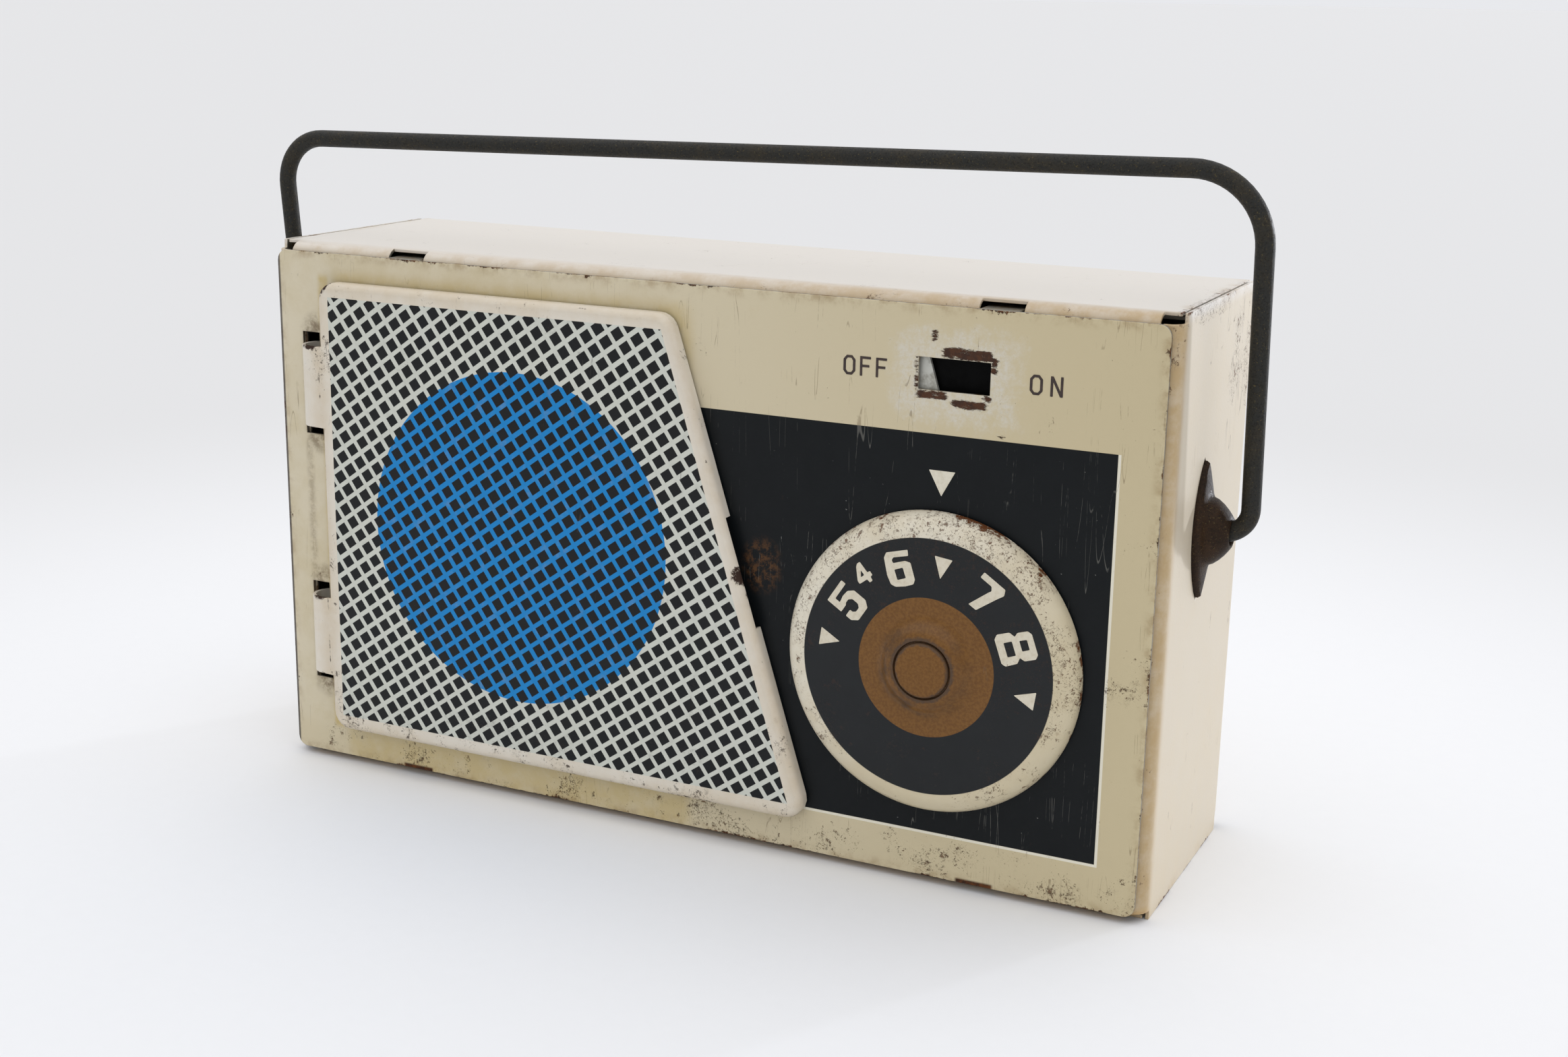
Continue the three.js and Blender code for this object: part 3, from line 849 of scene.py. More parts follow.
    def varnish(self, board: Board) -> Socket:
        """Yellow band along the left and the top of the door: varnish that gathered there, with painted shade
        of the door's edge.

        Args:
            board: The material's board.

        Returns:
            The mask of thick varnish.
        """
        cloud = board.band(board.noise(Grain.VARNISH), 0.3, 0.6, 0.4, 1.0)
        beside = self.varnish_and_shade_beside.mask(board)
        across = board.inside(board.x, *self.varnish_and_shade_above_x, 2.0)
        above = board.product(across, board.band(board.z, *self.varnish_and_shade_above_z, 0.7, 0.0))
        return board.product(board.most(beside, above), cloud)

    def grime(self, board: Board) -> Socket:
        """Brown grime that gathered round the ends of the hinge slots.

        Args:
            board: The material's board.

        Returns:
            The mask of grime.
        """
        along = board.minus(board.x, self.slot_x)
        masks = []
        for slot_z in self.slot_ends:
            reach = board.reach(along, board.product(board.minus(board.z, slot_z), 0.8))
            masks.append(board.below(reach, 0.8, 2.6))
        beside = board.product(self.grime_beside.mask(board), 0.5)
        cloud = board.band(board.noise(Grain.GRIME), 0.36, 0.6, 0.1, 1.0)
        return board.product(board.most(*masks, beside), cloud)

    def rubbed(self, board: Board) -> Socket:
        """A pale patch round the switch window, where fingers took the varnish off.

        Args:
            board: The material's board.

        Returns:
            The mask of rubbed paint.
        """
        moved = []
        for part, grain in ((board.x, Grain.RUB_ACROSS), (board.z, Grain.RUB_UPRIGHT)):
            still = board.minus(part, self.rub_wander / 2)
            moved.append(board.line(board.noise(grain), self.rub_wander, still))
        broken = board.band(board.noise(Grain.RUB_BREAKS), 0.38, 0.6, 0.2, 1.0)
        return board.product(self.rubbed_area.mask(board, *moved), broken, 0.75)

    def window_rust(self, board: Board) -> Socket:
        """Short rusty strokes along the window's edges.

        Args:
            board: The material's board.

        Returns:
            The mask of rust.
        """
        strokes = board.most(*(stroke.mask(board) for stroke in self.STROKES))
        grain = board.noise(Grain.WINDOW_GRAIN, board.turned((0, 0, 0), (0.4, 1.0, 1.4)))
        return board.band(board.math("ADD", strokes, board.line(grain, 3.4, -2.2)), 0.06, 0.2)


@dataclass(frozen=True)
class GrillePrint(Finish):
    """Printed grille: a slanting lattice of dark squares with a blue disc, in a cream border."""

    door_low: Vector
    door_high: Vector
    pitch: Point2 = (1.783, 1.765)
    turn: Point2 = (35.0, 125.3)
    shift: Point2 = (0.54, 0.32)
    square: float = 0.35
    unevenness: float = 0.045
    print_edge: float = 0.03
    left: float = -45.45
    low: float = 6.9
    high: float = 58.35
    right_low: float = 14.94
    slant: float = 17.35
    disc_centre: Point2 = (-19.9, 32.4)
    disc_radius: float = 19.45
    door_left: float = -47.1
    door_right: float = 17.37
    door_slant: float = 17.9
    border: Colour = paint(221, 214, 201)
    dull_border: Colour = paint(206, 190, 162)
    lattice: Colour = paint(203, 205, 195)
    faded: Colour = paint(150, 152, 142)
    dark: Colour = paint(14, 16, 18)
    blue: Colour = paint(16, 128, 196)
    scored: Colour = paint(70, 66, 60)
    coat: Coat = Coat(0.38, 0.7, 0.25, 0.22)
    low_band: Point2 = (5.0, 18.0)

    BARE_SPOTS: ClassVar[Sequence[tuple[float, float, float]]] = (
        (1.6, 60.6, 2.3),
        (18.3, 4.3, 2.7),
        (-48.0, 61.0, 2.9),
        (-48.4, 53.2, 1.5),
        (-48.4, 41.4, 1.3),
        (-48.4, 22.4, 1.4),
        (-48.4, 10.6, 1.3),
        (9.0, 32.2, 1.3),
        (9.9, 30.4, 0.8),
    )

    def surface(self, board: Board, shader: bpy.types.Node) -> None:
        """Wire the lattice, the disc, the border and their wear.

        Args:
            board: The material's board.
            shader: Its Principled BSDF.
        """
        board.lay_out()
        printed = self.printed_area(board)
        edge = board.most(self.edge(board), board.minus(board.y, self.door_low.y / MM))
        lines = board.coat(self.lattice, self.blue, self.disc(board))
        lines = board.coat(lines, self.faded, board.band(board.noise(Grain.FADED_LINES), 0.5, 0.8, 0.0, 0.3))
        pattern = board.coat(lines, self.dark, self.squares(board))
        border = board.coat(self.border, self.dull_border, Effect.MOTTLE.place(board, amount=0.5))
        colour = board.coat(border, pattern, printed)
        low = board.below(board.z, *self.low_band)
        specks = Effect.SPECKS.place(board, amount=board.line(low, 0.25, 0.62))
        chips = Effect.CHIPS.place(board, amount=0.45, distance=edge)
        scratches = Effect.SCRATCHES.place(board, amount=0.45)
        tide = board.product(board.below(edge, 0.0, 1.6), board.noise(Grain.DOOR_TIDE))
        colour = board.coat(colour, STAIN, tide, 0.4)
        colour = board.coat(colour, self.scored, scratches, 0.5)
        off_print = board.minus(1.0, board.product(printed, 0.75))
        rust = board.most(board.product(specks, off_print, 0.85), chips, self.bare_spots(board))
        self.painted(board, shader, board.coat(colour, DARK_RUST, rust), self.coat, rust, rust)

    def printed_area(self, board: Board) -> Socket:
        """Where the pattern is printed, up to its slanting right side.

        Args:
            board: The material's board.

        Returns:
            The printed area's mask.
        """
        soft = self.print_edge
        leaning = board.line(board.minus(board.z, self.low), math.tan(math.radians(self.slant)), board.x)
        return board.product(
            board.band(board.x, self.left - soft, self.left + soft),
            board.inside(board.z, self.low, self.high, soft * 2),
            board.below(leaning, self.right_low - soft, self.right_low + soft),
        )

    def squares(self, board: Board) -> Socket:
        """Dark squares on the turned lattice, row widths varying a little as a coarse print does.

        Args:
            board: The material's board.

        Returns:
            The squares' mask.
        """
        masks = []
        for pitch, turn, shift in zip(self.pitch, self.turn, self.shift):
            angle = math.radians(turn)
            across = board.product(board.x, math.cos(angle) / pitch)
            count = board.math("ADD", board.line(board.z, math.sin(angle) / pitch, across), shift)
            row = board.math("ROUND", count)
            chance = board.add("ShaderNodeTexWhiteNoise", {"W": row}, noise_dimensions="1D").outputs["Value"]
            half = board.line(chance, self.unevenness, self.square - 0.02)
            masks.append(board.below(board.minus(board.apart(count, row), half), -0.012, 0.012))
        return board.product(*masks)

    def disc(self, board: Board) -> Socket:
        """The blue disc's mask.

        Args:
            board: The material's board.

        Returns:
            The disc's mask.
        """
        x, z = (board.minus(part, middle) for part, middle in zip((board.x, board.z), self.disc_centre))
        soft = self.print_edge
        return board.below(board.reach(x, z), self.disc_radius - soft, self.disc_radius + soft)

    def edge(self, board: Board) -> Socket:
        """Distance in millimetres to the door's outline.

        Args:
            board: The material's board.

        Returns:
            The distance.
        """
        slope = math.radians(self.door_slant)
        rise = board.minus(board.z, self.door_low.z / MM)
        leaning = board.line(rise, math.tan(slope), board.x)
        return board.least(
            board.product(board.minus(self.door_right, leaning), math.cos(slope)),
            board.apart(board.x, self.door_left),
            rise,
            board.minus(self.door_high.z / MM, board.z),
        )

    def bare_spots(self, board: Board) -> Socket:
        """Worn metal on the door's corners, hinge ends and finger notch, each with its own size.

        Args:
            board: The material's board.

        Returns:
            The mask of bare metal.
        """
        ragged = board.noise(Grain.BARE_EDGES)
        masks = []
        for x, z, size in self.BARE_SPOTS:
            far = board.reach(board.minus(board.x, x), board.minus(board.z, z))
            masks.append(board.below(board.line(ragged, 2.2, far), size + 0.8, size + 1.05))
        return board.most(*masks)


BROWN = paint(120, 82, 36)
DEEP_BROWN = paint(106, 70, 28)
SCUFFED = paint(62, 56, 52)


@dataclass(frozen=True)
class DialPrint(Finish):
    """Printed dial: brown centre, black ring and a worn cream rim."""

    centre: Vector
    edge_radius: float
    brown_radius: float = 7.6
    black_radius: float = 14.0
    scuff_radius: float = 3.3
    boss_shade_radius: float = 4.5
    print_edge: float = 0.04
    rim: Colour = paint(223, 216, 198)
    dull_rim: Colour = paint(200, 184, 152)
    # painted shade for the rim's lower right
    shaded_rim: Colour = paint(198, 184, 150)
    black: Colour = paint(18, 20, 22)
    faded_black: Colour = paint(26, 29, 31)
    # dark brown used as painted shade round the boss
    stain: Colour = paint(52, 42, 34)
    scored: Colour = paint(120, 112, 98)
    coat: Coat = Coat(0.28, 0.5, 0.28, 0.12)

    def surface(self, board: Board, shader: bpy.types.Node) -> None:
        """Wire the rings of print, their wear, and painted shade on the rim and round the boss.

        Args:
            board: The material's board.
            shader: Its Principled BSDF.
        """
        board.lay_out(self.centre)
        x, z, soft = board.x, board.z, self.print_edge
        radius = board.reach(x, z)
        rim_mask = board.band(radius, self.black_radius - soft, self.black_radius + soft)
        brown_mask = board.below(radius, self.brown_radius - soft, self.brown_radius + soft)
        black = board.coat(self.black, self.faded_black, board.noise(Grain.BLACK_CLOUD))
        colour = board.coat(black, brown_lacquer(board), brown_mask)
        rim = board.coat(self.rim, self.dull_rim, Effect.MOTTLE.place(board, amount=0.6))
        # painted shade: the rim is darker towards its lower right
        rim = board.coat(rim, self.shaded_rim, board.band(board.line(z, -0.9, x), -10.0, 12.0, 0.0, 0.7))
        colour = board.coat(colour, rim, rim_mask)
        upper = board.band(board.math("ADD", x, board.product(z, 1.4)), -8.0, 14.0)
        specks = Effect.SPECKS.place(board, amount=board.line(upper, 0.32, 0.84))
        edge = board.minus(self.edge_radius, radius)
        chips = Effect.CHIPS.place(board, amount=board.line(upper, 0.8, 0.15), distance=edge)
        scratches = Effect.SCRATCHES.place(board, amount=0.35)
        scuff = self.scuff(board, radius)
        # painted shade round the boss, darkest at its lower left
        colour = board.coat(colour, self.stain, self.boss_shade(board, radius), 0.7)
        colour = board.coat(colour, SCUFFED, scuff, 0.65)
        colour = board.coat(colour, self.scored, scratches, 0.3)
        rust = board.most(board.product(specks, board.line(rim_mask, 0.75, 0.12)), chips)
        colour = board.coat(colour, RUST, rust)
        worn = board.most(rust, scuff)
        self.painted(board, shader, colour, self.coat, worn, worn)

    def boss_shade(self, board: Board, radius: Socket) -> Socket:
        """Painted shade round the boss, strongest at its lower left, where its slope faces away from the
        light.

        Args:
            board: The material's board.
            radius: Millimetres from the dial's axis.

        Returns:
            The stain's mask.
        """
        ring = board.below(board.apart(radius, self.boss_shade_radius), 0.2, 1.5)
        lower_left = board.band(board.math("ADD", board.x, board.product(board.z, 0.7)), -4.5, 3.0, 1.0, 0.25)
        return board.product(ring, lower_left, board.band(board.noise(Grain.TIDE_CLOUD), 0.35, 0.65))

    def scuff(self, board: Board, radius: Socket) -> Socket:
        """Lacquer scuffed off round the button.

        Args:
            board: The material's board.
            radius: Millimetres from the dial's axis.

        Returns:
            The scuffed ring's mask.
        """
        away = board.line(board.noise(Grain.SCUFF), -1.1, board.apart(radius, self.scuff_radius))
        return board.below(away, -0.5, -0.1)


def brown_lacquer(board: Board) -> Socket:
    """The grainy brown of the dial's middle and its button."""
    return board.coat(BROWN, DEEP_BROWN, board.band(board.noise(Grain.BROWN_GRAIN), 0.35, 0.65))


@dataclass(frozen=True)
class Lacquer(Finish):
    """Brown lacquer on the dial's button, rubbed at its rim."""

    centre: Vector
    radius: float
    coat: Coat = Coat(0.34, 0.5, 0.26, 0.08, 0.02)

    def surface(self, board: Board, shader: bpy.types.Node) -> None:
        """Wire grainy brown with a dark, rubbed rim.

        Args:
            board: The material's board.
            shader: Its Principled BSDF.
        """
        board.lay_out(self.centre)
        edge = board.minus(self.radius, board.reach(board.x, board.z))
        chips = board.below(board.line(board.noise(Grain.SCUFF), -0.9, edge), -0.4, -0.1)
        colour = board.coat(brown_lacquer(board), SCUFFED, chips, 0.65)
        self.painted(board, shader, colour, self.coat, chips, chips)


@dataclass(frozen=True)
class Ink(Finish):
    """A printed mark in one ink, broken by the same rust as the sheet under it."""

    ink: Colour = paint(44, 30, 27)
    worn: Colour = paint(84, 64, 50)
    breaks: float = 0.3
    centre: Vector = Vector((0, 0, 0))

    def surface(self, board: Board, shader: bpy.types.Node) -> None:
        """Wire the ink and the spots where it is worn.

        Args:
            board: The material's board.
            shader: Its Principled BSDF.
        """
        board.lay_out(self.centre)
        wave = board.noise(Grain.INK_WEAR)
        colour = board.coat(self.ink, self.worn, board.band(wave, 0.4, 0.75, 0.0, 0.5))
        colour = board.coat(colour, RUST, Effect.SPECKS.place(board, amount=self.breaks))
        self.gloss(board, shader, colour, board.band(wave, 0.3, 0.7, 0.35, 0.5), 0.5)


@dataclass(frozen=True)
class DarkSteel(Finish):
    """Oxidised steel of the wire and the bosses, with bloom and fine pale pits."""

    oxide: Colour = paint(47, 47, 45)
    bloom: Colour = paint(60, 53, 40)
    bloom_share: float = 0.5
    dark_pit: Colour = paint(26, 24, 22)
    pale_pit: Colour = paint(112, 98, 60)

    def surface(self, board: Board, shader: bpy.types.Node) -> None:
        """Wire the oxide, the bloom and the pits.

        Args:
            board: The material's board.
            shader: Its Principled BSDF.
        """
        board.lay_out()
        bloom = board.band(board.noise(Grain.STEEL_BLOOM), 0.42, 0.68)
        pits = board.band(board.noise(Grain.DARK_PITS), 0.5, 0.62)
        colour = board.coat(self.oxide, self.bloom, bloom, self.bloom_share)
        colour = board.coat(colour, self.dark_pit, pits, 0.45)
        colour = board.coat(colour, self.pale_pit, board.band(board.noise(Grain.PALE_PITS), 0.6, 0.68), 0.5)
        board.feed(shader.inputs["Metallic"], board.band(bloom, 0.0, 1.0, 0.1, 0.0))
        self.gloss(board, shader, colour, board.band(pits, 0.0, 1.0, 0.44, 0.6), 0.12)
        self.relief(board, shader, board.line(pits, -0.012, board.product(bloom, 0.015)))


@dataclass(frozen=True)
class Tin(Finish):
    """Bare or lacquered tinplate: raw edges and the unprinted side of the sheet."""

    bright: Colour = paint(150, 146, 134)
    dull: Colour = paint(96, 82, 64)
    metallic: float = 0.7
    rust_share: float = 0.5
    shine: float = 0.5

    def surface(self, board: Board, shader: bpy.types.Node) -> None:
        """Wire dull tin with brown bloom.

        Args:
            board: The material's board.
            shader: Its Principled BSDF.
        """
        board.lay_out()
        bloom = board.band(board.noise(Grain.TIN_BLOOM), 0.4, 0.68)
        colour = board.coat(self.bright, self.dull, bloom)
        colour = board.coat(colour, RUST, Effect.SPECKS.place(board, amount=0.6), self.rust_share)
        shader.inputs["Metallic"].default_value = self.metallic
        self.gloss(board, shader, colour, board.band(bloom, 0.0, 1.0, 0.38, 0.6), self.shine)
        self.relief(board, shader, Effect.PEEL.place(board, amount=0.12))


@dataclass(frozen=True)
class Paper(Finish):
    """Matt white paper of the studio floor, painted a little darker far off as painted light fall-off."""

    smooth: Colour = paint(235, 236, 238)
    grainy: Colour = paint(237, 238, 240)
    # painted light fall-off: the floor's colour far from the radio
    painted_falloff: Colour = paint(214, 214, 214)
    falloff_reach: Point2 = (40.0, 260.0)

    def surface(self, board: Board, shader: bpy.types.Node) -> None:
        """Wire white with the faintest grain, painted darker with distance as painted light fall-off.

        Args:
            board: The material's board.
            shader: Its Principled BSDF.
        """
        board.lay_out()
        colour = board.coat(self.smooth, self.grainy, board.noise(Grain.PAPER))
        # painted light: darker with distance, brighter near the radio against its shadow
        colour = board.coat(colour, self.painted_falloff, board.band(board.reach(board.x, board.y), *self.falloff_reach))
        self.gloss(board, shader, colour, 0.9, 0.2)


PALE_TIN = Tin("pale_tin", paint(196, 196, 188), paint(150, 146, 134), 0.3)
# painted shade: almost black tin without shine, standing in for the shade inside the case behind the window
SHADE_BLACK_TIN = Tin("shade_black_tin", paint(9, 9, 9), paint(6, 6, 6), 0.0, 0.05, 0.05)
DULL_TIN = Tin("dull_tin")
BACKING = Tin("lacquered_tin", dull=paint(120, 96, 60))
BROWNED_STEEL = DarkSteel("browned_steel", paint(44, 32, 23), paint(62, 44, 29), 0.8)


# Mesh work

MERGE_WITHIN = 0.002 * MM
FLAT_WITHIN = math.radians(0.5)
CUT_EDGE_AREA = 0.3 * MM * MM
SHEET_CREASE = 35.0
MARK_CREASE = 40.0
TURNED_CREASE = 45.0
ROUND_CREASE = 50.0

@dataclass
class Piece:
    """A piece being modelled, with the body, slot and CAD nodes that it answers for."""

    name: str
    body: Body
    finishes: Sequence[Finish]
    slot: Slot | None = None
    replaces: Sequence[str] = ()
    mesh: bmesh.types.BMesh = field(default_factory=bmesh.new)

    def finish(self, smooth: float = MARK_CREASE, rounding: float = 0.0) -> bpy.types.Object:
        """Turn the bmesh into an object that rides on its body.

        Args:
            smooth: Edges sharper than this many degrees stay sharp.
            rounding: Width of the rounding on sharp edges, in metres; 0 leaves them.

        Returns:
            The finished object.
        """
        data = bpy.data.meshes.new(self.name)
        self.mesh.to_mesh(data)
        self.mesh.free()
        data.shade_smooth()
        data.set_sharp_from_angle(angle=math.radians(smooth))
        made = bpy.data.objects.new(self.name, data)
        bpy.context.scene.collection.objects.link(made)
        for finish in self.finishes:
            data.materials.append(finish.material())
        if rounding:
            soften = made.modifiers.new("soft_edges", "BEVEL")
            soften.width = rounding
            soften.segments = 2
            soften.limit_method = "ANGLE"
            soften.angle_limit = math.radians(smooth)
            soften.material = -1
            made.modifiers.new("even_shading", "WEIGHTED_NORMAL").keep_sharp = True
        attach(made, self.body.value)
        if self.replaces:
            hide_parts(*self.replaces)
        LOG.info("%s: %d faces on %s", self.name, len(data.polygons), self.body.value)
        return made


def copy_cad(piece: Piece, cad: bpy.types.Object) -> None:
    """Fill a piece with a CAD node's solid, merged and with its flat areas made whole.

    Args:
        piece: The piece to fill.
        cad: The CAD node's object.
    """
    piece.mesh.from_mesh(cad.data)
    bmesh.ops.remove_doubles(piece.mesh, verts=piece.mesh.verts[:], dist=MERGE_WITHIN)
    bmesh.ops.dissolve_limit(
        piece.mesh,
        angle_limit=FLAT_WITHIN,
        verts=piece.mesh.verts[:],
        edges=piece.mesh.edges[:],
    )


def mark_faces(mesh: bmesh.types.BMesh, index: int, chosen: Callable[[bmesh.types.BMFace], bool]) -> None:
    """Give the chosen faces another of the piece's finishes.

    Args:
        mesh: The mesh.
        index: The finish's place in the piece's list.
        chosen: Says whether a face is one of them.
    """
    mesh.normal_update()
    for face in mesh.faces:
        if chosen(face):
            face.material_index = index


@dataclass
class Sweep:
    """Carries a section along straights and round bends that lie in one plane."""

    mesh: bmesh.types.BMesh
    origin: Vector
    right: Vector
    up: Vector
    bend_steps: int

    def place(self, point: Point2) -> Vector:
        """A point of the plane, in the row frame."""
        return self.origin + self.right * point[0] + self.up * point[1]

    def straight(self, ring: Ring, move: Vector) -> Ring:
        """Draw the section straight on.

        Args:
            ring: The section's edges.
            move: How far and which way.

        Returns:
            The section's edges at the far end.
        """
        drawn = bmesh.ops.extrude_edge_only(self.mesh, edges=ring)["geom"]
        verts = [part for part in drawn if isinstance(part, bmesh.types.BMVert)]
        bmesh.ops.translate(self.mesh, verts=verts, vec=move)
        moved = set(verts)
        return [part for part in drawn if isinstance(part, bmesh.types.BMEdge) and set(part.verts) <= moved]

    def bend(self, ring: Ring, centre: Vector, angle: float) -> Ring:
        """Draw the section round a bend.

        Args:
            ring: The section's edges.
            centre: The bend's centre.
            angle: The turn, positive anticlockwise as seen with right along and up above.

        Returns:
            The section's edges at the far end.
        """
        verts = list({vert for edge in ring for vert in edge.verts})
        steps = max(2, round(self.bend_steps * abs(angle) / (math.pi / 2)))
        spun = bmesh.ops.spin(
            self.mesh,
            geom=verts + ring,
            cent=centre,
            axis=self.right.cross(self.up),
            dvec=(0, 0, 0),
            angle=angle,
            steps=steps,
            use_merge=False,
        )["geom_last"]
        return [part for part in spun if isinstance(part, bmesh.types.BMEdge)]

    def follow(self, ring: Ring, corners: Sequence[Point2], radii: Sequence[float]) -> Ring:
        """Carry the section along a line of corners, each rounded by its own radius.

        Args:
            ring: The section's edges, standing at the first corner.
            corners: The line's corners in the plane.
            radii: One radius for each inner corner.

        Returns:
            The section's edges at the end of the line.
        """
        used = 0.0
        for index in range(1, len(corners)):
            here, there = Vector(corners[index - 1]), Vector(corners[index])
            along = (there - here).normalized()
            length = (there - here).length - used
            used = 0.0
            if index < len(corners) - 1:
                onward = (Vector(corners[index + 1]) - there).normalized()
                turn = math.atan2(along.x * onward.y - along.y * onward.x, along.dot(onward))
                radius = radii[index - 1]
                used = radius * math.tan(abs(turn) / 2)
            if length - used > 1e-9:
                ring = self.straight(ring, (self.right * along.x + self.up * along.y) * (length - used))
            if index < len(corners) - 1:
                side = Vector((-along.y, along.x)) * math.copysign(radius, turn)
                start = there - along * used
                ring = self.bend(ring, self.place(tuple(start + side)), turn)
        return ring


class Figure(Enum):
    """Printed figures as outlines in millimetres: the shape's own line, then its counters."""

    FIVE = (
        (
            (-1.35, 1.85), (1.5, 1.85), (1.5, 1.25), (-0.6, 1.25), (-0.6, 0.6), (0.2, 0.75), (1.0, 0.65),
            (1.55, 0.1), (1.55, -1.5), (1.0, -2.15), (-0.8, -2.15), (-1.35, -1.5), (-1.35, -0.75),
            (-0.5, -0.75), (-0.5, -1.1), (-0.2, -1.4), (0.35, -1.4), (0.65, -1.05), (0.65, -0.3),
            (0.3, 0.05), (-0.2, 0.05), (-0.4, -0.1), (-1.35, -0.1),
        ),
    )
    SIX = (
        (
            (-0.95, 2.0), (1.5, 1.85), (1.4, 1.2), (-0.3, 1.35), (-0.55, 1.1), (-0.5, 0.75), (0.9, 0.75),
            (1.45, 0.45), (1.45, -1.4), (1.15, -1.85), (0.2, -1.9), (-0.9, -1.75), (-1.35, -1.4),
            (-1.5, -0.4), (-1.35, 1.5),
        ),
        ((-0.55, 0.05), (0.45, 0.1), (0.5, -1.05), (-0.5, -1.1)),
    )
    SEVEN = (
        (
            (-1.65, 1.5), (1.15, 1.6), (1.45, 1.0), (1.1, 0.2), (0.15, -2.3), (-0.85, -2.35), (0.0, 0.15),
            (0.15, 0.45), (-0.15, 0.85), (-1.65, 0.8),
        ),
    )
    EIGHT = (
        (
            (-1.25, 2.15), (1.0, 2.15), (1.4, 1.8), (1.35, 0.55), (0.9, 0.15), (1.45, -0.3), (1.5, -1.65),
            (1.15, -2.0), (-1.5, -2.0), (-1.95, -1.6), (-1.9, -0.2), (-1.35, 0.25), (-1.7, 0.65),
            (-1.65, 1.8),
        ),
        ((-0.8, 1.45), (0.3, 1.45), (0.3, 0.6), (-0.85, 0.6)),
        ((-0.95, -0.2), (0.6, -0.2), (0.6, -1.15), (-0.95, -1.15)),
    )
    FOUR = (
        (
            (0.0, 1.35), (0.38, 1.35), (0.45, -0.02), (0.8, -0.05), (0.8, -0.55), (0.5, -0.58),
            (0.45, -1.05), (0.05, -1.05), (0.0, -0.62), (-1.05, -0.6), (-1.05, -0.2), (-0.3, 1.1),
        ),
        ((-0.05, 0.55), (-0.02, -0.08), (-0.5, -0.08)),
    )
    POINTER = (((-1.0, 1.15), (1.0, 1.15), (0.0, -1.15)),)
    LETTER_O = (
        (
            (-0.3, 1.03), (0.3, 1.03), (0.68, 0.6), (0.68, -0.6), (0.3, -1.03), (-0.3, -1.03),
            (-0.68, -0.6), (-0.68, 0.6),
        ),
        (
            (-0.2, 0.76), (0.2, 0.76), (0.4, 0.5), (0.4, -0.5), (0.2, -0.76), (-0.2, -0.76), (-0.4, -0.5),
            (-0.4, 0.5),
        ),
    )
    LETTER_F = (
        (
            (-0.6, 1.03), (0.62, 1.03), (0.62, 0.77), (-0.33, 0.77), (-0.33, 0.16), (0.46, 0.16),
            (0.46, -0.1), (-0.33, -0.1), (-0.33, -1.03), (-0.6, -1.03),
        ),
    )
    LETTER_N = (
        (
            (-0.66, 1.03), (-0.38, 1.03), (0.39, -0.46), (0.39, 1.03), (0.66, 1.03), (0.66, -1.03),
            (0.38, -1.03), (-0.39, 0.46), (-0.39, -1.03), (-0.66, -1.03),
        ),
    )


@dataclass
class PrintedMarks:
    """Raised ink on a flat surface that looks along -Y."""

    piece: Piece
    surface_y: float
    film: float = 0.03 * MM
    sunk: float = 0.02 * MM

    def figure(
        self,
        figure: Figure,
        centre: Point2,
        turn: float = 0.0,
        stretch: Point2 = (1.0, 1.0),
        rounding: float = 0.1,
    ) -> None:
        """Draw one figure flat, with its corners rounded.

        Args:
            figure: Which figure.
            centre: Its middle on X and Z, in metres.
            turn: Its clockwise turn in degrees, as seen from the front.
            stretch: Its scale across and upright.
            rounding: How much of each corner is rounded, in millimetres.
        """
        mesh = self.piece.mesh
        angle = math.radians(turn)
        right = Vector((math.cos(angle), 0, -math.sin(angle))) * stretch[0] * MM
        up = Vector((math.sin(angle), 0, math.cos(angle))) * stretch[1] * MM
        middle = Vector((centre[0], self.surface_y + self.sunk, centre[1]))
        known = set(mesh.edges)
        for outline in figure.value:
            verts = [mesh.verts.new(middle + right * x + up * z) for x, z in outline]
            mesh.faces.new(verts)
            bmesh.ops.bevel(
                mesh,
                geom=verts,
                offset=rounding * MM,
                segments=3,
                profile=0.5,
                affect="VERTICES",
                clamp_overlap=True,
                material=-1,
            )
        drawn = [edge for edge in mesh.edges if edge not in known]
        flats = list({face for edge in drawn for face in edge.link_faces})
        bmesh.ops.delete(mesh, geom=flats, context="FACES_ONLY")
        bmesh.ops.triangle_fill(mesh, use_beauty=True, use_dissolve=False, edges=drawn, normal=(0, -1, 0))

    def thicken(self) -> None:
        """Give the flat marks their film of ink."""
        mesh = self.piece.mesh
        mesh.normal_update()
        bmesh.ops.reverse_faces(mesh, faces=[face for face in mesh.faces if face.normal.y > 0])
        drawn = bmesh.ops.extrude_face_region(mesh, geom=mesh.faces[:])["geom"]
        verts = [part for part in drawn if isinstance(part, bmesh.types.BMVert)]
        bmesh.ops.translate(mesh, verts=verts, vec=(0, -self.film - self.sunk, 0))
        bmesh.ops.recalc_face_normals(mesh, faces=mesh.faces[:])


# Sub-assemblies


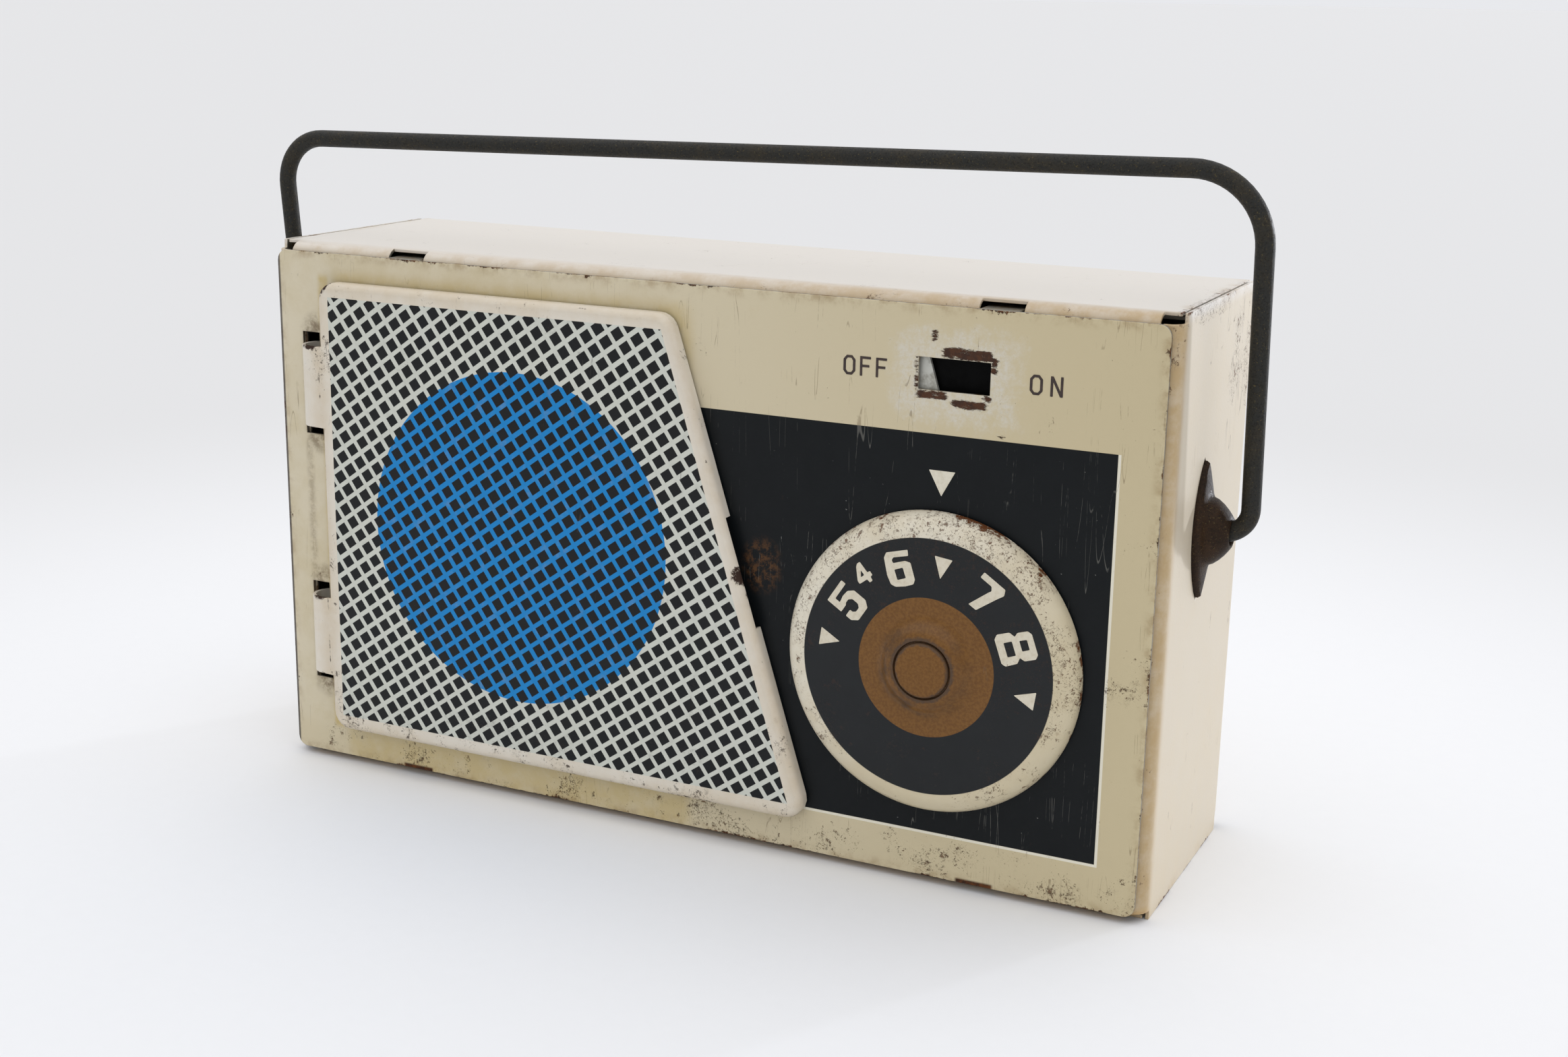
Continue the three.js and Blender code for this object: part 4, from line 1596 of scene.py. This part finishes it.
@dataclass
class Case:
    """Folded shell, two end panels and the printed face plate."""

    nodes: dict[str, bpy.types.Object]
    edge_round: float = 0.09 * MM
    word_off: Point2 = (22.0 * MM, 56.2 * MM)
    word_on: Point2 = (41.72 * MM, 56.05 * MM)
    off_step: float = 1.8 * MM
    on_step: float = 2.15 * MM
    letter_rounding: float = 0.05
    pointer: Point2 = (30.95 * MM, 44.75 * MM)
    pointer_stretch: Point2 = (1.45, 1.17)
    pointer_rounding: float = 0.06

    def build(self) -> None:
        """Build and dress every piece of the case, and dress the switch behind it."""
        self.sheet("case_shell", "case_shell_sheet")
        for end in End:
            node = f"end_panel_{end.label}"
            self.sheet(node, f"{node}_sheet")
        self.face_plate()
        self.words()
        dress(self.nodes["switch_slide"], PALE_TIN)
        # the guide behind the window is almost black as painted shade of the case's inside
        dress(self.nodes["switch_guide"], SHADE_BLACK_TIN)

    def sheet(self, node: str, name: str) -> None:
        """Refine one folded sheet: painted outside, bare tin inside and along its cut edges.

        Args:
            node: The CAD node that it stands for.
            name: The new piece's name.
        """
        low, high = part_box(node)
        finishes = (Enamel(f"cream_enamel_{node}", low, high), BACKING)
        piece = Piece(name, Body.CASE, finishes, Slot.ENAMEL, (node,))
        copy_cad(piece, self.nodes[node])
        middle = (low + high) / 2
        if node != "case_shell":
            middle.x = 0
        mark_faces(piece.mesh, 1, lambda face: faces_inwards(face, middle))
        piece.finish(SHEET_CREASE, self.edge_round)

    def face_plate(self) -> None:
        """Refine the printed face plate."""
        finishes = (FacePrint("printed_face_worn", *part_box("face_plate")), BACKING)
        piece = Piece("face_plate_sheet", Body.CASE, finishes, Slot.FACE, ("face_plate",))
        copy_cad(piece, self.nodes["face_plate"])
        mark_faces(piece.mesh, 1, lambda face: face.normal.y > -0.5)
        piece.finish(SHEET_CREASE, self.edge_round)

    def words(self) -> None:
        """Print the switch words and the pointer on the face."""
        face_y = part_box("face_plate")[0].y
        words = Piece("switch_words", Body.CASE, (Ink("dark_ink", breaks=0.2),), Slot.FACE)
        marks = PrintedMarks(words, face_y)
        plan = (
            (self.word_off, self.off_step, (Figure.LETTER_O, Figure.LETTER_F, Figure.LETTER_F)),
            (self.word_on, self.on_step, (Figure.LETTER_O, Figure.LETTER_N)),
        )
        for middle, step, letters in plan:
            for index, letter in enumerate(letters):
                shift = (index - (len(letters) - 1) / 2) * step
                marks.figure(letter, (middle[0] + shift, middle[1]), rounding=self.letter_rounding)
        marks.thicken()
        words.finish()
        ink = Ink("pale_ink", paint(222, 216, 198), paint(190, 178, 150), 0.25)
        pointer = Piece("dial_pointer", Body.CASE, (ink,), Slot.FACE)
        marks = PrintedMarks(pointer, face_y)
        marks.figure(Figure.POINTER, self.pointer, 0.0, self.pointer_stretch, self.pointer_rounding)
        marks.thicken()
        pointer.finish()


def faces_inwards(face: bmesh.types.BMFace, middle: Vector) -> bool:
    """Whether a face of a box-shaped sheet looks at the inside of the box, or is a cut edge.

    Args:
        face: The face.
        middle: The middle of the box.

    Returns:
        True for a face inside or on a cut edge.
    """
    outward = face.calc_center_median() - middle
    return face.normal.dot(outward) < 0 or face.calc_area() < CUT_EDGE_AREA


def dress(node: bpy.types.Object, finish: Finish) -> None:
    """Give a CAD node that stays in view its finish.

    Args:
        node: The CAD node's object.
        finish: The finish.
    """
    node.data.materials.clear()
    node.data.materials.append(finish.material())
    LOG.info("%s: dressed in %s", node.name, finish.name)


@dataclass
class Door:
    """The printed grille door."""

    nodes: dict[str, bpy.types.Object]
    edge_round: float = 0.07 * MM

    def build(self) -> None:
        """Build and dress the door."""
        finishes = (GrillePrint("printed_grille_worn", *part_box("grille_door")), BACKING)
        piece = Piece("grille_door_pan", Body.DOOR, finishes, Slot.GRILLE, ("grille_door",))
        copy_cad(piece, self.nodes["grille_door"])
        mark_faces(piece.mesh, 1, lambda face: face.normal.y > 0.5)
        piece.finish(SHEET_CREASE, self.edge_round)


@dataclass
class Dial:
    """The turning dial: stamped cap, button and printed figures."""

    nodes: dict[str, bpy.types.Object]
    centre: Vector
    radius: float = 16.5 * MM
    foot: float = 0.3 * MM
    rise: float = 2.4 * MM
    boss_radius: float = 5.2 * MM
    boss_top_radius: float = 4.0 * MM
    well_radius: float = 3.12 * MM
    well_floor: float = 3.08 * MM
    boss_rise: float = 3.5 * MM
    well_lip: float = 0.12 * MM
    hole_radius: float = 1.5 * MM
    sheet: float = 0.4 * MM
    button_radius: float = 2.98 * MM
    button_low: float = 3.15 * MM
    button_high: float = 3.8 * MM
    button_rounding: float = 0.3 * MM
    shank_radius: float = 1.2 * MM
    clinch_radius: float = 2.2 * MM
    clinch_depth: float = 0.7 * MM
    rim_margin: float = 0.02 * MM
    ring_tolerance: float = 0.01 * MM
    boss_foot_rounding: float = 0.6 * MM
    boss_top_rounding: float = 0.5 * MM
    turn: float = 7.5
    steps: int = 160

    FIGURES: ClassVar[Sequence[tuple[Figure, float, float]]] = (
        (Figure.POINTER, -89.5, 11.1),
        (Figure.FIVE, -64.5, 10.85),
        (Figure.FOUR, -45.8, 11.7),
        (Figure.SIX, -25.3, 10.8),
        (Figure.POINTER, 0.0, 11.1),
        (Figure.SEVEN, 28.4, 11.2),
        (Figure.EIGHT, 62.8, 10.5),
        (Figure.POINTER, 90.5, 11.1),
    )

    def build(self) -> None:
        """Build and dress the cap, the button and the figures, and dress the hidden washer."""
        self.cap()
        self.button()
        self.figures()
        dress(self.nodes["dial_washer"], DULL_TIN)

    def turned_shape(self, piece: Piece, profile: Sequence[Point2], closed: bool) -> None:
        """Spin a profile of radius and height round the dial's axis.

        Args:
            piece: The piece to fill.
            profile: Radius and height in front of the face, in metres.
            closed: Whether the profile starts and ends on the axis.
        """
        mesh = piece.mesh
        verts = [mesh.verts.new((self.centre.x + r, self.centre.y - h, self.centre.z)) for r, h in profile]
        edges = [mesh.edges.new(pair) for pair in zip(verts, verts[1:])]
        bmesh.ops.spin(
            mesh,
            geom=verts + edges,
            cent=self.centre,
            axis=(0, 1, 0),
            dvec=(0, 0, 0),
            angle=2 * math.pi,
            steps=self.steps,
            use_merge=True,
        )
        bmesh.ops.remove_doubles(mesh, verts=mesh.verts[:], dist=MERGE_WITHIN)
        bmesh.ops.recalc_face_normals(mesh, faces=mesh.faces[:])
        if not closed:
            self.face_front(mesh)

    @staticmethod
    def face_front(mesh: bmesh.types.BMesh) -> None:
        """Turn an open cap's faces so that its broad face looks along -Y.

        Args:
            mesh: The cap's mesh.
        """
        mesh.normal_update()
        broad = max(mesh.faces, key=lambda face: abs(face.normal.y) * face.calc_area())
        if broad.normal.y > 0:
            bmesh.ops.reverse_faces(mesh, faces=mesh.faces[:])

    def ring_edges(self, mesh: bmesh.types.BMesh, radius: float, height: float) -> Ring:
        """The ring of edges at one radius and height.

        Args:
            mesh: The turned mesh.
            radius: The ring's radius.
            height: Its distance in front of the face plate.

        Returns:
            The edges that lie on the ring.
        """
        found = []
        for edge in mesh.edges:
            reaches = [
                (math.hypot(vert.co.x - self.centre.x, vert.co.z - self.centre.z), self.centre.y - vert.co.y)
                for vert in edge.verts
            ]
            if all(max(abs(r - radius), abs(h - height)) < self.ring_tolerance for r, h in reaches):
                found.append(edge)
        return found

    def round_ring(
        self, mesh: bmesh.types.BMesh, radius: float, height: float, size: float, steps: int
    ) -> None:
        """Round the fold at one radius and height.

        Args:
            mesh: The mesh.
            radius: The ring's radius.
            height: Its height in front of the face.
            size: The rounding's size.
            steps: Its segments.
        """
        bmesh.ops.bevel(
            mesh,
            geom=self.ring_edges(mesh, radius, height),
            offset=size,
            offset_type="OFFSET",
            segments=steps,
            profile=0.5,
            affect="EDGES",
            material=-1,
        )

    def cap(self) -> None:
        """Spin the cap, round its folds and give it its wall."""
        finishes = (DialPrint("printed_dial_worn", self.centre, self.radius / MM), BACKING)
        piece = Piece("dial_cap_stamping", Body.DIAL, finishes, Slot.DIAL, ("dial_cap",))
        profile = (
            (self.radius, self.foot),
            (self.radius, self.rise),
            (self.boss_radius, self.rise),
            (self.boss_top_radius, self.boss_rise),
            (self.well_radius + self.well_lip, self.boss_rise),
            (self.well_radius, self.well_floor),
            (self.hole_radius, self.well_floor),
        )
        self.turned_shape(piece, profile, False)
        rolled = self.rise - self.foot - self.rim_margin
        self.round_ring(piece.mesh, self.radius, self.rise, rolled, 10)
        self.round_ring(piece.mesh, self.boss_radius, self.rise, self.boss_foot_rounding, 6)
        self.round_ring(piece.mesh, self.boss_top_radius, self.boss_rise, self.boss_top_rounding, 6)
        bmesh.ops.solidify(piece.mesh, geom=piece.mesh.faces[:], thickness=self.sheet)
        piece.finish(TURNED_CREASE)

    def button(self) -> None:
        """Spin the button that stands in the cap's well, with its shank behind it."""
        finish = Lacquer("brown_lacquer", self.centre, self.button_radius / MM)
        piece = Piece("dial_button", Body.DIAL, (finish,), Slot.LACQUER, ("dial_rivet",))
        tail = self.centre.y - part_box("dial_rivet")[1].y
        clinch = tail + self.clinch_depth
        profile = (
            (0.0, tail),
            (self.clinch_radius, tail),
            (self.clinch_radius, clinch),
            (self.shank_radius, clinch),
            (self.shank_radius, self.button_low),
            (self.button_radius, self.button_low),
            (self.button_radius, self.button_high),
            (0.0, self.button_high),
        )
        self.turned_shape(piece, profile, True)
        self.round_ring(piece.mesh, self.button_radius, self.button_high, self.button_rounding, 5)
        piece.finish(TURNED_CREASE)

    def spot(self, angle: float, radius: float) -> Point2:
        """A place on the dial at a clockwise angle from its own top, in metres."""
        turn = math.radians(angle + self.turn)
        return (self.centre.x + radius * math.sin(turn), self.centre.z + radius * math.cos(turn))

    def figures(self) -> None:
        """Print the figures and the pointers."""
        ink = Ink("dial_ink", paint(216, 208, 188), paint(184, 168, 138), 0.55, self.centre)
        piece = Piece("dial_figures", Body.DIAL, (ink,), Slot.DIAL)
        marks = PrintedMarks(piece, self.centre.y - self.rise)
        for figure, angle, radius in self.FIGURES:
            marks.figure(figure, self.spot(angle, radius * MM), angle + self.turn)
        marks.thicken()
        piece.finish()


class BossRing(NamedTuple):
    """One ring of a boss: its stand in millimetres, and how it passes from eye to nose."""

    stand: float
    eye: float
    share: float
    nose: float


@dataclass
class Bail:
    """The wire bail and the two bosses that carry it."""

    nodes: dict[str, bpy.types.Object]
    pivot: Vector
    case_half: float
    wire: float = 1.0 * MM
    standoff: float = 5.2 * MM
    lean: float = 5.7
    left_leg: float = 35.6 * MM
    right_leg: float = 37.8 * MM
    left_corner: float = 6.0 * MM
    right_corner: float = 7.5 * MM
    elbow: float = 2.9 * MM
    tail: float = 52.0 * MM
    bend_steps: int = 14
    eye_half_length: float = 7.4 * MM
    eye_half_width: float = 3.0 * MM
    nose_stretch: float = 0.27
    stretch_from: float = 1.45
    stretch_over: float = 1.2
    sides: int = 24
    boss_sides: int = 64

    BOSS_RINGS: ClassVar[Sequence[BossRing]] = (
        BossRing(-0.9, 1.0, 0.0, 0.0),
        BossRing(0.25, 1.0, 0.0, 0.0),
        BossRing(0.55, 0.97, 0.0, 0.0),
        BossRing(0.72, 0.92, 0.25, 2.98),
        BossRing(0.88, 0.84, 0.65, 2.95),
        BossRing(1.1, 0.7, 1.0, 2.88),
        BossRing(1.65, 0.5, 1.0, 2.7),
        BossRing(2.2, 0.5, 1.0, 2.45),
        BossRing(2.7, 0.5, 1.0, 2.15),
        BossRing(3.1, 0.5, 1.0, 1.82),
        BossRing(3.36, 0.5, 1.0, 1.55),
        BossRing(3.4, 0.5, 1.0, 1.42),
        BossRing(3.3, 0.5, 1.0, 1.32),
        BossRing(3.0, 0.5, 1.0, 1.3),
        BossRing(-0.9, 0.5, 1.0, 1.3),
    )

    def build(self) -> None:
        """Build and dress the wire and the bosses, and dress the hidden clips."""
        self.bent_wire()
        for end in End:
            self.boss(end)
            dress(self.nodes[f"bail_clip_{end.label}"], DULL_TIN)

    def bent_wire(self) -> None:
        """Sweep the wire through its bends, then lean it forward."""
        finish = DarkSteel("oxidised_wire")
        piece = Piece("bail_wire_bent", Body.BAIL, (finish,), Slot.STEEL, ("bail_wire",))
        leg = self.case_half + self.standoff
        corners = (
            (-self.tail, 0.0),
            (-leg, 0.0),
            (-leg, self.left_leg),
            (leg, self.right_leg),
            (leg, 0.0),
            (self.tail, 0.0),
        )
        radii = (self.elbow, self.left_corner, self.right_corner, self.elbow)
        sweep = Sweep(piece.mesh, self.pivot, Vector((1, 0, 0)), Vector((0, 0, 1)), self.bend_steps)
        turn = Matrix.Rotation(math.pi / 2, 4, "Y")
        place = Matrix.Translation(sweep.place(corners[0])) @ turn
        bmesh.ops.create_circle(
            piece.mesh, segments=self.sides, radius=self.wire, cap_ends=False, matrix=place
        )
        start = piece.mesh.edges[:]
        end = sweep.follow(start, corners, radii)
        for ring in (start, end):
            bmesh.ops.edgeloop_fill(piece.mesh, edges=ring)
        bmesh.ops.recalc_face_normals(piece.mesh, faces=piece.mesh.faces[:])
        lean = Matrix.Rotation(math.radians(self.lean), 3, "X")
        bmesh.ops.rotate(piece.mesh, verts=piece.mesh.verts[:], cent=self.pivot, matrix=lean)
        piece.finish(ROUND_CREASE)

    def eye_radius(self, angle: float) -> float:
        """The eye outline's radius at an angle from +Y towards +Z, in metres.

        Args:
            angle: The angle, in radians.

        Returns:
            The radius, in metres.
        """
        arc = (self.eye_half_length**2 + self.eye_half_width**2) / (2 * self.eye_half_width)
        inset = arc - self.eye_half_width
        return math.sqrt(arc**2 - (inset * math.sin(angle)) ** 2) - inset * abs(math.cos(angle))

    def boss(self, end: End) -> None:
        """Loft one boss from rings that pass from the eye outline to the round nose.

        Args:
            end: Which end of the case it stands on.
        """
        name = f"bail_boss_{end.label}"
        piece = Piece(f"{name}_stamping", Body.CASE, (BROWNED_STEEL,), Slot.STEEL, (name,))
        mesh = piece.mesh
        rings = []
        for ring in self.BOSS_RINGS:
            circle = bmesh.ops.create_circle(mesh, segments=self.boss_sides, radius=1.0, cap_ends=False)
            made = circle["verts"]
            share = max(0.0, min(1.0, (ring.nose - self.stretch_from) / self.stretch_over))
            stretch = 1.0 + self.nose_stretch * share
            for index, vert in enumerate(made):
                angle = 2 * math.pi * index / len(made)
                nose = ring.nose * MM / math.hypot(math.cos(angle), math.sin(angle) / stretch)
                reach = (1 - ring.share) * self.eye_radius(angle) * ring.eye + ring.share * nose
                vert.co = Vector((
                    end.value * (self.case_half + ring.stand * MM),
                    self.pivot.y + reach * math.cos(angle),
                    self.pivot.z + reach * math.sin(angle),
                ))
            edges = {edge for vert in made for edge in vert.link_edges}
            rings.append(list(edges))
        for first, second in zip(rings, rings[1:] + rings[:1]):
            bmesh.ops.bridge_loops(mesh, edges=first + second)
        bmesh.ops.recalc_face_normals(mesh, faces=mesh.faces[:])
        piece.finish(ROUND_CREASE)


# Studio


@dataclass
class Studio:
    """Pale floor, soft light and the camera."""

    floor_half: float = 60.0
    eye: Vector = Vector((104.88, -208.98, 93.5)) * MM
    azimuth: float = 25.479
    elevation: float = 14.655
    roll: float = 1.033
    lens: float = 47.0
    clip_start: float = 0.01
    wall: Colour = paint(166, 167, 168)
    backdrop: Colour = paint(200, 201, 204)
    ceiling: Colour = paint(253, 253, 255)
    wall_rise: Point2 = (0.1, 0.9)
    backdrop_fade: Point2 = (0.02, 0.06)
    room_strength: float = 1.4
    key_from: Vector = Vector((0.5, 0.85, 0.07))
    key_colour: tuple[float, float, float] = (0.92, 0.96, 1.04)
    key_softness: float = 3.0
    key_strength: float = 1.4

    def build(self) -> None:
        """Set up the floor, the world, the lights and the camera."""
        self.floor()
        self.world()
        self.key()
        self.camera()

    def floor(self) -> None:
        """Lay a wide pale floor."""
        mesh = bmesh.new()
        bmesh.ops.create_grid(mesh, x_segments=1, y_segments=1, size=self.floor_half)
        data = bpy.data.meshes.new("studio_floor")
        mesh.to_mesh(data)
        mesh.free()
        floor = bpy.data.objects.new("studio_floor", data)
        bpy.context.scene.collection.objects.link(floor)
        data.materials.append(Paper("studio_paper").material())

    def world(self) -> None:
        """Surround the radio with pale walls under a brighter ceiling."""
        world = bpy.data.worlds.new("studio_world")
        world.use_nodes = True
        board = Board(world.node_tree)
        _, _, height = board.axes(board.add("ShaderNodeTexCoord").outputs["Generated"])
        room = board.coat(self.wall, self.ceiling, board.band(height, *self.wall_rise))
        level = board.below(board.math("ABSOLUTE", height), *self.backdrop_fade)
        room = board.coat(room, self.backdrop, level)
        background = world.node_tree.nodes["Background"]
        board.feed(background.inputs[0], room)
        background.inputs[1].default_value = self.room_strength
        bpy.context.scene.world = world
        bpy.context.scene.view_settings.view_transform = "Standard"

    def key(self) -> None:
        """Hang one low window light behind and to the right."""
        data = bpy.data.lights.new("soft_key", "SUN")
        data.angle = math.radians(self.key_softness)
        data.energy = self.key_strength
        data.color = self.key_colour
        lamp = bpy.data.objects.new("soft_key", data)
        lamp.rotation_mode = "QUATERNION"
        lamp.rotation_quaternion = self.key_from.to_track_quat("Z", "Y")
        bpy.context.scene.collection.objects.link(lamp)

    def camera(self) -> None:
        """Stand the camera at its place, with its slight roll."""
        turn, tilt, roll = (math.radians(angle) for angle in (self.azimuth, self.elevation, self.roll))
        back = Vector((
            math.sin(turn) * math.cos(tilt),
            -math.cos(turn) * math.cos(tilt),
            math.sin(tilt),
        ))
        level = (-back).cross(Vector((0, 0, 1))).normalized()
        above = level.cross(-back)
        right = level * math.cos(roll) + above * math.sin(roll)
        up = above * math.cos(roll) - level * math.sin(roll)
        data = bpy.data.cameras.new("studio_camera")
        data.lens = self.lens
        data.clip_start = self.clip_start
        camera = bpy.data.objects.new("studio_camera", data)
        axes = Matrix((right, up, back)).transposed().to_4x4()
        camera.matrix_world = Matrix.Translation(self.eye) @ axes
        bpy.context.scene.collection.objects.link(camera)
        bpy.context.scene.camera = camera


def main() -> None:
    """Build the radio's looks in order."""
    logging.basicConfig(level=logging.INFO, format="%(name)s %(message)s")
    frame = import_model()
    nodes = frame["nodes"]
    joints = {joint["name"]: joint for joint in frame["joints"]}
    Studio().build()
    Case(nodes).build()
    Door(nodes).build()
    Dial(nodes, Vector(joints["dial_turn"]["pos_m"])).build()
    half_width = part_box("end_panel_right")[1].x
    Bail(nodes, Vector(joints["bail_swing"]["pos_m"]), half_width).build()


if __name__ == "__main__":
    main()
